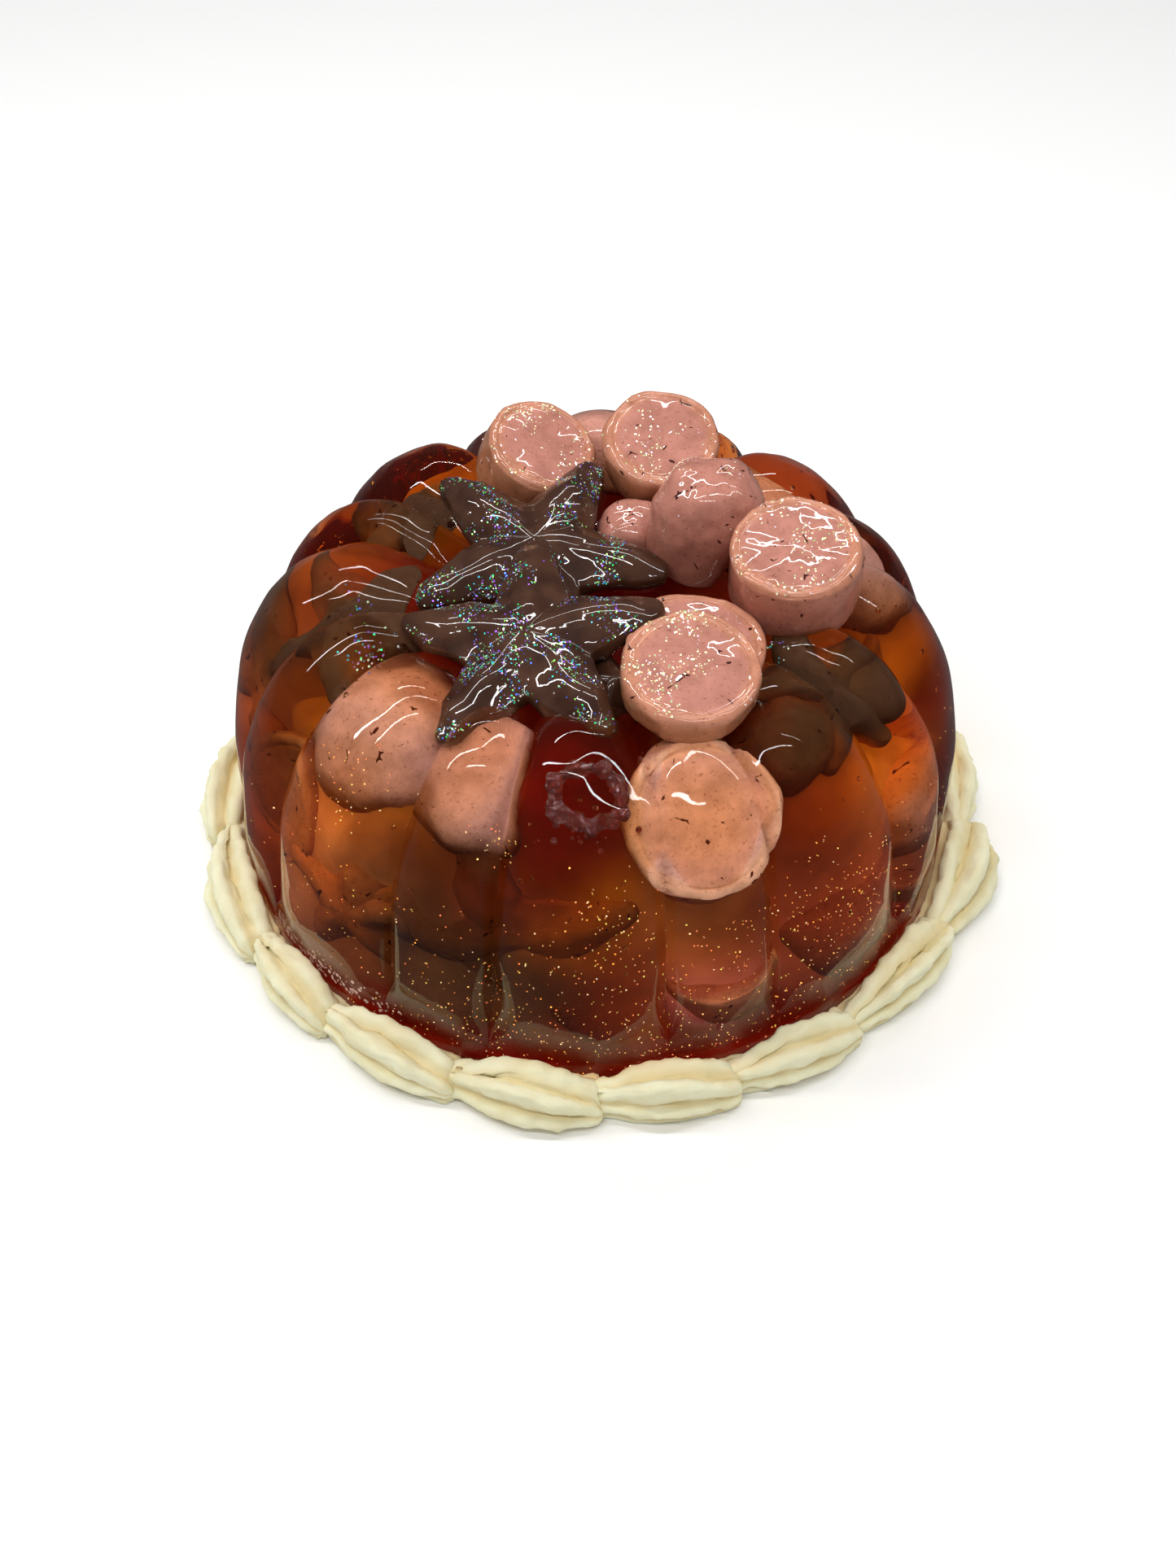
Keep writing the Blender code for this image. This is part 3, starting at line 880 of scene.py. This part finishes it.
def place_along(piece, centre, axis, turn=0.0):
    """Sets a piece's underside at a point, with its upright along an axis."""
    spin = Vector(axis).to_track_quat("Z", "Y").to_matrix().to_4x4()
    piece.data.transform(Matrix.Translation(Vector(centre) * MM) @ spin
                         @ Matrix.Rotation(math.radians(turn), 4, "Z"))
    piece.data.update()


# Toppings, as in the CAD: name, kind, radius, thickness, centre of the underside, lean back,
# lean sideways, turn
TOPPINGS = (
    ("star_front", "star", 18.6, 5.6, (-8.2, -16.2, 47.5), 9.5, -7.0, -2.4),
    ("sausage_slice_front", "slice", 9.0, 5.2, (12.3, -24.8, 49.4), 14, 2, 0),
    ("sausage_slice_right", "slice", 8.9, 9.6, (27.2, -3.8, 47.7), 10, -3, 20),
    ("sausage_end_upright", "end", 8.0, 15.4, (15.2, 8.8, 44.2), 6, 4, 0),
    ("sausage_slice_back_right", "slice", 8.3, 6.2, (9.4, 24.0, 49.2), 20, 3, 10),
    ("sausage_slice_back_left", "slice", 8.0, 10.0, (-10.2, 25.5, 43.8), 14, 18, 30),
    ("star_back", "star", 18.6, 5.8, (-8.0, 4.6, 46.2), 14, -1, 44),
    ("sausage_slice_under", "slice", 9.3, 4.8, (13.3, -16.6, 45.8), 4, 3, 15),
    ("sausage_end_middle", "end", 5.0, 7.4, (6.0, 11.8, 42.8), 8, -6, 0),
    ("star_fragment", "star", 8.0, 4.8, (2.6, -20.8, 43.8), 6, 4, 20),
)
MAKERS = {"star": make_star, "slice": make_slice, "end": make_end, "brown_end": make_end}
SLOTS = {"star": "chocolate", "slice": "sausage", "end": "sausage", "brown_end": "chocolate"}

# Pieces sunk in the resin: kind, radius, thickness, centre of the underside, upright axis, turn
SUNK = (
    ("end", 9.6, 15.5, (-22.6, -19.6, 31.3), (-0.44, -0.56, 0.70), 20),
    ("end", 7.6, 16.0, (-12.4, -25.0, 40.0), (-0.12, -0.86, -0.36), 0),
    ("slice", 10.3, 6.0, (13.0, -36.1, 36.9), (0.16, -0.70, 0.70), 0),
    ("star", 11.0, 5.6, (29.5, -17.4, 40.0), (0.42, -0.36, 0.84), 60),
    ("brown_end", 5.8, 8.0, (23.4, -24.2, 36.9), (0.38, -0.46, 0.80), 0),
    ("brown_end", 4.0, 15.5, (26.4, -12.5, 41.4), (0.92, -0.32, -0.16), 0),
    ("star", 13.0, 4.6, (-32.0, -5.0, 41.2), (-0.45, -0.08, 0.88), 30),
    ("star", 9.6, 4.2, (-25.4, 16.0, 42.4), (-0.44, 0.24, 0.86), 25),
    ("star", 19.0, 4.6, (-11.5, -40.5, 21.0), (-0.30, -0.95, 0.14), 12),
    ("star", 11.0, 4.0, (-30.0, -33.0, 19.0), (-0.70, -0.70, 0.14), 0),
    ("end", 10.5, 14.0, (1.5, -36.5, 4.0), (0.0, -0.15, 1.0), 0),
    ("slice", 8.4, 6.0, (16.0, -39.0, 12.8), (0.1, -0.40, 0.90), 0),
    ("end", 10.5, 15.0, (27.0, -25.5, 8.0), (0.35, -0.45, 0.8), 0),
    ("slice", 8.4, 7.0, (38.0, -16.0, 8.4), (0.35, -0.2, 0.9), 0),
    ("end", 8.0, 12.0, (36.5, -15.0, 19.0), (0.75, -0.3, 0.55), 0),
    ("end", 8.4, 13.0, (30.0, 5.0, 36.6), (0.72, 0.1, 0.6), 0),
    ("end", 9.0, 16.0, (16.2, 14.8, 34.8), (0.62, 0.66, 0.32), 0),
    ("end", 8.0, 13.0, (-1.5, 29.4, 37.6), (0.1, 0.75, 0.6), 0),
    ("end", 9.0, 14.0, (-40.0, -8.0, 6.0), (-0.2, -0.1, 1.0), 0),
    ("slice", 9.2, 6.0, (-35.5, -18.0, 24.0), (-0.86, -0.45, 0.25), 0),
    ("star", 15.0, 4.4, (-42.0, -1.0, 29.0), (-0.98, -0.1, 0.2), 40),
    ("star", 15.0, 4.4, (39.0, -3.0, 24.0), (0.98, -0.1, 0.15), 0),
    ("slice", 9.0, 7.0, (37.0, 11.0, 12.0), (0.92, 0.3, 0.25), 0),
    ("star", 15.0, 4.4, (32.0, 26.0, 24.0), (0.75, 0.62, 0.2), 20),
    ("end", 9.4, 14.0, (22.0, 29.0, 8.0), (0.4, 0.5, 0.75), 0),
    ("slice", 9.2, 6.0, (12.0, 38.0, 27.0), (0.28, 0.95, 0.15), 0),
    ("end", 9.4, 14.0, (-4.0, 35.0, 8.0), (-0.1, 0.6, 0.8), 0),
    ("star", 16.0, 4.4, (-16.5, 37.0, 24.0), (-0.42, 0.9, 0.12), 0),
    ("end", 9.0, 13.0, (-27.0, 25.0, 9.0), (-0.5, 0.45, 0.75), 0),
    ("slice", 9.4, 7.0, (-34.0, 15.5, 26.0), (-0.88, 0.42, 0.2), 0),
    ("end", 9.4, 14.0, (-35.0, 11.0, 6.4), (-0.6, 0.2, 0.8), 0),
)

# How far inside the wall a sunk piece is pressed
SUNK_DEPTH = 1.3
# The round slice on the front's right stands out past the wall, and the resin swells over it
BULGED = 2
BULGED_DEPTH = -1.6

BASE_STATIONS = ((50.4, 0.6), (51.0, 1.0), (51.0, 2.6), (50.8, 3.4), (49.8, 4.0), (46.0, 4.3), (30.0, 4.4),
                 (10.0, 4.5))


def make_base_layer(material):
    """The deep red layer at the bottom of the resin, which shines with a painted glow."""
    piece = raise_rings("red_base_layer", 120, BASE_STATIONS)
    roughen(piece, 6.0, 0.5, 4, lambda p: 1.0 if p.z > 2.8 else 0.0)
    paint_points(piece, "glow", lambda p: BASE_RED)
    settle(piece, material)


# Tints of the cloudy resin, each with the places where it lies and how far it reaches; the core also emits
# them as a painted glow
RED = (0.085, 0.0015, 0.0008)
BASE_RED = (0.125, 0.0025, 0.0012)
RED_BROWN = (0.17, 0.026, 0.005)
DARK_BROWN = (0.082, 0.026, 0.008)
OLIVE_BROWN = (0.050, 0.030, 0.018)
AMBER = (0.36, 0.115, 0.008)
ORANGE = (0.85, 0.23, 0.012)
TAN = (0.50, 0.185, 0.070)
PALE_TAN = (0.80, 0.33, 0.15)
ROSE_BROWN = (0.29, 0.075, 0.050)
PINK = (0.62, 0.19, 0.22)
TINTS = (
    (AMBER, (((-32, 24, 44), 8), ((-39, -14, 41), 6), ((-30, -32, 37), 7), ((44, -5, 39), 5.5),
             ((3, -46, 31), 4), ((-41, 12, 39), 6), ((-3, -46, 26), 4))),
    (ORANGE, (((39, -20, 35), 8),)),
    (PALE_TAN, (((-38, -33, 27), 7.5),)),
    (TAN, (((-38, -32, 27), 8), ((13, -45, 26), 6), ((45, -21, 27), 7), ((-48, -4, 29), 4.5))),
    (ROSE_BROWN, (((-40, 4, 44), 7), ((-48, -8, 24), 7), ((31, 24, 45), 9), ((17, -46, 19), 4),
                  ((33, -38, 18), 9), ((30, -41, 12), 5), ((45, -23, 17), 7), ((-38, -35, 21), 6))),
    (PINK, (((16, -47, 15), 4),)),
    (OLIVE_BROWN, (((-46, 1, 37), 7), ((-23, -42, 25), 9), ((-20, -45, 14), 7.5), ((-9, -48, 20), 6),
                   ((-35, 14, 43), 4))),
    (DARK_BROWN, (((-44, -17, 33), 7), ((-32, -38, 20), 8))),
    (RED_BROWN, (((-48, -19, 18), 8), ((-14, -43, 30), 5), ((28, -37, 31), 9), ((38, -4, 44), 6),
                 ((13, -44, 34), 6), ((27, -31, 37), 6), ((3, -49, 7), 6), ((-22, -46, 5), 5),
                 ((5, -49, 20), 6.5))),
    (RED, (((-25, 6, 44), 7), ((-21, -15, 44), 8), ((-27, -35, 32), 4), ((-3, -44, 33), 6),
           ((16, -47, 7), 6), ((29, -41, 7), 7), ((47, -22, 6), 6), ((0, -36, 44), 7))),
)


def deep_tone(point):
    """The colour of the cloudy resin at a place, which the core also emits as a painted glow; the back
    repeats the front's tints.
    """
    here = Vector((point.x, point.y if point.y < 26 else 52 - point.y, point.z))
    total, mixed = 0.06, Vector(RED) * 0.06
    for tint, spots in TINTS:
        for middle, reach in spots:
            weight = math.exp(-((here - Vector(middle)).length / (1.15 * reach)) ** 2)
            total += weight
            mixed += Vector(tint) * weight
    return tuple(mixed / total)


CORE_STATIONS = ((48.6, 1.7), (49.4, 6.0), (49.2, 12.0), (47.6, 20.0), (45.0, 28.0), (41.0, 35.0),
                 (35.0, 40.0), (27.0, 39.0), (20.0, 35.0), (12.0, 33.5), (2.5, 33.0))
# How deep the cloudy middle lies under the wall, by height
CORE_DEPTHS = ((0.0, 3.2), (8.0, 3.6), (24.0, 6.5), (60.0, 6.5))


def make_core(material):
    """The cloudy middle of the resin, where sunk pieces and thick resin run together; it shines with a
    painted glow in the resin's tints.
    """
    piece = raise_rings("cloudy_core_painted_glow", 180, smooth_curve(CORE_STATIONS, 60))
    move_points(piece, lambda p: inside_dome(p, value_along(CORE_DEPTHS, p.z)))
    roughen(piece, 11.0, 3.0, 8, lambda p: min(1.0, max(0.0, (p.z - 3) / 8)))
    paint_points(piece, "glow", lambda p: blend_colour(BASE_RED, deep_tone(p), (p.z - 5.0) / 4.5))
    settle(piece, material)


def make_blanks():
    """The plain forms that the stars and sausage pieces are drawn from."""
    drum = blank_drum("sausage_blank", SAUSAGE_SIDES, SAUSAGE_RINGS)
    return {"star": blank_drum("star_blank", STAR_SIDES, len(STAR_PLACES)), "slice": drum, "end": drum,
            "brown_end": drum}


def make_toppings(blanks, finishes):
    """The stars and sausage pieces on top, each in place of its node."""
    made = {}
    for number, (name, kind, radius, thickness, centre, back, side, turn) in enumerate(TOPPINGS):
        piece = MAKERS[kind](blanks[kind], name + "_piece", radius, thickness, 11 + number)
        place_by_leans(piece, centre, back, side, turn)
        made[name] = settle(piece, finishes[SLOTS[kind]], name)
    return made


# Heights under which a sausage end, and any other sunk piece, fades
END_FADES_FROM = 41.5
FADES_FROM = 39.0
BROWN_CLAY = (0.058, 0.034, 0.023)
# The tint of each sunk kind: the brown ones' own colour, or what multiplies the paint of the others,
# painted light that brightens the slices and ends, most in green and blue, to make up for the light that
# the amber resin takes
SUNK_COLOURS = {"star": BROWN_CLAY, "brown_end": BROWN_CLAY, "slice": (1.32, 1.62, 1.62),
                "end": (1.02, 1.42, 1.95)}


def fade_with_depth(piece, tint, fade_from):
    """Paints a sunk piece so that it runs into the cloudy resin's tints, the colours of its painted glow,
    where it lies deep, or under a height.
    """
    layer = piece.data.color_attributes.get("clay") or \
        piece.data.color_attributes.new("clay", "FLOAT_COLOR", "POINT")
    own = [Vector(dab.color[:3]) for dab in layer.data]
    if tint == BROWN_CLAY:
        own = [Vector((1, 1, 1))] * len(own)
    for dab, colour, point in zip(layer.data, own, piece.data.vertices):
        place = point.co / MM
        low = min(1.0, max(0.0, (fade_from - place.z) / 13.0))
        depth = wall_depth(place)[0] + 1.2 * noise.noise(place / 5.0)
        fade = 0.48 * low + max(0.0, (depth - 3.4 + 1.6 * low) / (4.4 - 1.4 * low))
        fade = min(0.97, max(0.0, fade))
        toned = (colour.x * tint[0], colour.y * tint[1], colour.z * tint[2])
        dab.color = (*blend_colour(toned, deep_tone(place), fade), 1)


def make_sunk(blanks, finish):
    """The stars and sausage pieces inside the resin."""
    for number, (kind, radius, thickness, centre, axis, turn) in enumerate(SUNK):
        name = "sunk_%s_%02d" % (kind, number + 1)
        piece = MAKERS[kind](blanks[kind], name, radius, thickness, 41 + number)
        place_along(piece, centre, axis, turn)
        margin = BULGED_DEPTH if number == BULGED else SUNK_DEPTH
        move_points(piece, lambda p: inside_dome(p, margin))
        fade_from = END_FADES_FROM if kind == "end" else FADES_FROM
        fade_with_depth(piece, SUNK_COLOURS[kind], fade_from)
        settle(piece, finish)


# Glitter
IRIDESCENT = ((0.02, 0.60, 0.16), (0.02, 0.45, 0.34), (0.06, 0.36, 0.50), (0.06, 0.14, 0.70),
              (0.24, 0.08, 0.62), (0.60, 0.85, 0.55), (0.25, 0.70, 0.12), (0.34, 0.20, 0.50),
              (0.75, 0.70, 0.65))
PALE_GOLD = ((1.0, 0.90, 0.62), (1.0, 0.80, 0.40), (0.85, 0.95, 0.60), (0.90, 0.75, 0.85),
             (0.60, 0.90, 0.45))
EMBER = ((1.0, 0.42, 0.08), (1.0, 0.60, 0.20), (1.0, 0.80, 0.50), (0.75, 0.70, 0.15), (0.85, 0.25, 0.10))


def scattered(draw, spread):
    """A random step whose three lengths have a spread."""
    return Vector((draw.gauss(0, spread), draw.gauss(0, spread), draw.gauss(0, spread)))


def surface_places(piece, count, draw, wanted):
    """Random places on a piece's faces, by area, where a rule for place and normal allows."""
    mesh = piece.data
    mesh.calc_loop_triangles()
    faces, weights = [], []
    for triangle in mesh.loop_triangles:
        corners = [mesh.vertices[k].co / MM for k in triangle.vertices]
        middle = (corners[0] + corners[1] + corners[2]) / 3
        chance = wanted(middle, triangle.normal)
        if chance > 0:
            faces.append((corners, triangle.normal.copy()))
            weights.append(triangle.area * chance)
    places = []
    for corners, normal in draw.choices(faces, weights, k=count):
        a, b = draw.random(), draw.random()
        if a + b > 1:
            a, b = 1 - a, 1 - b
        places.append((corners[0] + (corners[1] - corners[0]) * a + (corners[2] - corners[0]) * b, normal))
    return places


FLAKE_SIDES = 6
FLAKE_HALF = 0.02


def make_flakes(name, places, palette, sizes, tilt, material, draw):
    """Six-sided glitter plates at places, all in one mesh, each in a colour of the palette."""
    points, faces, colours = [], [], []
    for middle, normal in places:
        axis = (normal + scattered(draw, tilt)).normalized()
        across = axis.orthogonal().normalized()
        along = axis.cross(across)
        radius = draw.uniform(*sizes)
        start = len(points)
        spin = draw.uniform(0, math.tau)
        for level in (-FLAKE_HALF, FLAKE_HALF):
            for k in range(FLAKE_SIDES):
                turn = spin + math.tau * k / FLAKE_SIDES
                rim = (across * math.cos(turn) + along * math.sin(turn)) * radius
                points.append((middle + axis * level + rim) * MM)
        upper = start + FLAKE_SIDES
        faces.append([start + k for k in reversed(range(FLAKE_SIDES))])
        faces.append([upper + k for k in range(FLAKE_SIDES)])
        for k in range(FLAKE_SIDES):
            n = (k + 1) % FLAKE_SIDES
            faces.append([start + k, start + n, upper + n, upper + k])
        colours += [draw.choice(palette)] * (2 * FLAKE_SIDES)
    mesh = bpy.data.meshes.new(name)
    mesh.from_pydata(points, [], faces)
    layer = mesh.color_attributes.new("foil", "FLOAT_COLOR", "POINT")
    for dab, colour in zip(layer.data, colours):
        dab.color = (*colour, 1)
    piece = bpy.data.objects.new(name, mesh)
    bpy.context.scene.collection.objects.link(piece)
    mesh.materials.append(material)
    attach(piece, "root")
    return piece


def patchy(size, seed, level):
    """A rule that keeps upward faces in patches of a size."""
    shift = Vector((seed, seed * 2.0, seed * 3.0))

    def rule(middle, normal):
        if normal.z < 0.35:
            return 0.0
        return max(0.0, noise.noise(middle / size + shift) + level)
    return rule


# How many flakes lie on each star, on the resin and on each sausage piece
STAR_FLAKES = 1150
JELLY_FLAKES = 100
SAUSAGE_FLAKES = {"sausage_slice_front": 300, "sausage_slice_right": 200, "sausage_slice_back_right": 130,
                  "sausage_slice_back_left": 260, "sausage_end_upright": 60}
SPREAD_SPECKS = 1500
# Denser clouds of specks in the resin: middle, spread and count
SPECK_CLUSTERS = (((-31, -30, 38), 4.0, 120), ((-12, -41, 38), 2.0, 60), ((2, -47, 30), 4.0, 110),
                  ((8, -49, 14), 6.0, 90), ((32, -37, 24), 6.0, 150), ((-16, -48, 12), 5.0, 70))
# Places on the dome where glitter lies: middle and reach
GLITTER_SPOTS = (((-29.7, -15.0, 46.7), 2.4), ((-32.0, -5.7, 46.6), 1.6), ((24.5, -14.0, 44.6), 2.2))


def near_spots(spots):
    """A rule that keeps faces near any of the spots."""
    def rule(middle, normal):
        if normal.z < 0.3:
            return 0.0
        return sum(math.exp(-((middle - Vector(spot)).length / reach) ** 2) for spot, reach in spots)
    return rule


def make_glitter(toppings, jelly):
    """Glitter on the stars and slices, and specks hanging in the resin."""
    foil = flake_material("glitter_foil", 0.5)
    draw = random.Random(5)
    for name in ("star_front", "star_back"):
        places = surface_places(toppings[name], STAR_FLAKES, draw, patchy(4.5, 2.0, 0.08))
        make_flakes(name + "_glitter", places, IRIDESCENT, (0.05, 0.16), 0.25, foil, draw)
    for name, count in SAUSAGE_FLAKES.items():
        places = surface_places(toppings[name], count, draw, patchy(5.0, 7.0, 0.12))
        make_flakes(name + "_glitter", places, PALE_GOLD, (0.06, 0.18), 0.25, foil, draw)
    specks = []
    while len(specks) < SPREAD_SPECKS:
        angle = draw.uniform(-180, 180)
        near_front = max(0.0, math.cos(math.radians(angle - 15)))
        if draw.random() > 0.15 + 0.85 * near_front ** 2:
            continue
        place = draw.uniform(0.02, 0.32)
        surface = dome_point(angle, place)
        depth = 0.5 + 3.5 * draw.random() ** 1.5
        inward = Vector((-surface.x, -surface.y, 0)).normalized()
        toward = scattered(draw, 1).normalized()
        if surface.z > 0.8:
            specks.append((surface + inward * depth, toward))
    ember = flake_material("sunk_glitter", 1.1)
    for middle, spread, count in SPECK_CLUSTERS:
        for _ in range(count):
            spot = Vector(middle) + scattered(draw, spread)
            toward = scattered(draw, 1).normalized()
            spot.z = max(spot.z, 3.0)
            specks.append((inside_dome(spot, 0.6), toward))
    make_flakes("sunk_glitter", specks, EMBER, (0.06, 0.15), 0.3, ember, draw)
    patch = surface_places(jelly, JELLY_FLAKES, draw, near_spots(GLITTER_SPOTS))
    make_flakes("jelly_glitter", patch, IRIDESCENT, (0.08, 0.18), 0.3, foil, draw)


def scatter_balls(name, places, material, sides=12, rows=8):
    """Small balls at places given as middle and radius, all in one mesh."""
    deselect()
    bpy.ops.mesh.primitive_uv_sphere_add(segments=sides, ring_count=rows, radius=MM)
    ball = bpy.context.object
    unit = [v.co / MM for v in ball.data.vertices]
    quads = [list(face.vertices) for face in ball.data.polygons]
    bpy.data.objects.remove(ball)
    points, faces = [], []
    for middle, radius in places:
        start = len(points)
        points += [(middle + corner * radius) * MM for corner in unit]
        faces += [[start + k for k in quad] for quad in quads]
    mesh = bpy.data.meshes.new(name)
    mesh.from_pydata(points, [], faces)
    piece = bpy.data.objects.new(name, mesh)
    bpy.context.scene.collection.objects.link(piece)
    return settle(piece, material)


def bubble_material():
    """Air in resin: a surface that bends light the other way."""
    material, _, shader = new_material("air_bubble")
    shader.inputs["Base Color"].default_value = (1, 0.97, 0.94, 1)
    shader.inputs["Roughness"].default_value = 0.02
    shader.inputs["IOR"].default_value = 0.70
    shader.inputs["Transmission Weight"].default_value = 1.0
    return material


def blister_material():
    """A rough patch of resin that glares."""
    material, tree, shader = new_material("resin_blister")
    shader.inputs["Base Color"].default_value = (0.62, 0.12, 0.08, 1)
    shader.inputs["Transmission Weight"].default_value = 0.92
    shader.inputs["Roughness"].default_value = 0.07
    shader.inputs["IOR"].default_value = 1.65
    shader.inputs["Specular Tint"].default_value = (1.0, 0.86, 0.95, 1)
    grain = add_noise(tree, object_coordinates(tree), 0.9, 3.0, 0.6)
    add_bump(tree, grain, "Fac", 0.9, 0.8, shader.inputs["Normal"])
    return material


# The ring of blistered resin on the front lobe
BLISTER_MIDDLE = (-0.8, -41.1, 45.9)
BLISTER_AXIS = (0.0, -0.62, 0.78)
BLISTER_RADIUS = 3.9
BLISTER_COUNT = 95
BUBBLE_COUNT = 130


def make_bubbles():
    """Air bubbles just under the surface, and a ring of blisters on the front lobe."""
    draw = random.Random(23)
    bubbles = []
    for _ in range(BUBBLE_COUNT):
        angle = draw.uniform(-180, 180)
        radius = draw.uniform(0.15, 0.42)
        surface = dome_point(angle, draw.uniform(0.08, 0.62))
        bubbles.append((inside_dome(surface, radius + draw.uniform(0.4, 2.5)), radius))
    facing = Vector(BLISTER_AXIS).to_track_quat("Z", "Y")
    blisters = []
    for _ in range(BLISTER_COUNT):
        turn = draw.uniform(0, math.tau)
        radius = draw.uniform(0.14, 0.55)
        reach = BLISTER_RADIUS + abs(draw.gauss(0, 1.0)) * (1.6 if math.sin(turn) < 0 else 0.4)
        beside = facing @ Vector((math.cos(turn) * reach, math.sin(turn) * reach * 0.9, 0))
        blisters.append((inside_dome(Vector(BLISTER_MIDDLE) + beside, radius * 0.4), radius))
    scatter_balls("air_bubbles", bubbles, bubble_material())
    glaring = blister_material()
    scatter_balls("surface_blisters", blisters, glaring, 14, 10)
    deselect()
    bpy.ops.mesh.primitive_torus_add(major_segments=120, minor_segments=30,
                                     major_radius=BLISTER_RADIUS * MM, minor_radius=1.05 * MM)
    ring = bpy.context.object
    ring.name = ring.data.name = "blister_ring"
    move_points(ring, lambda p: (p.x * 1.1, p.y * 0.9, p.z * 0.42 - 0.16))
    roughen(ring, 1.9, 1.5, 12)
    roughen(ring, 0.7, 0.5, 14)
    place_along(ring, BLISTER_MIDDLE, BLISTER_AXIS)
    settle(ring, glaring)


PALE_FLECK_COUNT = 150


def make_pale_flecks():
    """Pale flecks on the lower edges of the lobes at the front left."""
    material, _, shader = new_material("pale_fleck")
    shader.inputs["Base Color"].default_value = (0.62, 0.40, 0.33, 1)
    shader.inputs["Roughness"].default_value = 0.45
    draw = random.Random(31)
    places = []
    for _ in range(PALE_FLECK_COUNT):
        angle = draw.uniform(-60, -30)
        surface = dome_point(angle, draw.triangular(0.075, 0.13, 0.09))
        outward = Vector((surface.x, surface.y, 0)).normalized()
        places.append((surface + outward * 0.03, outward))
    make_flakes("lobe_pale_flecks", places, ((0.7, 0.5, 0.45),), (0.08, 0.34), 0.12, material, draw)


def build():
    """Makes the camera first and then every piece."""
    make_camera()
    make_stage()
    resin = resin_material()
    coated = {"sausage": clay_material("sausage_clay", painted_colour("clay"), True),
              "chocolate": clay_material("star_chocolate", chocolate_colour, True)}
    bare = clay_material("sunk_clay", painted_colour("clay"), False)
    jelly = make_jelly(resin)
    make_border(cream_material())
    blanks = make_blanks()
    toppings = make_toppings(blanks, coated)
    make_sunk(blanks, bare)
    # The cloudy resin of the core and base layer shines with a painted glow.
    cloudy = painted_glow_material()
    make_base_layer(cloudy)
    make_core(cloudy)
    for blank in {blanks["star"], blanks["slice"]}:
        bpy.data.objects.remove(blank)
    make_glitter(toppings, jelly)
    make_bubbles()
    make_pale_flecks()


build()
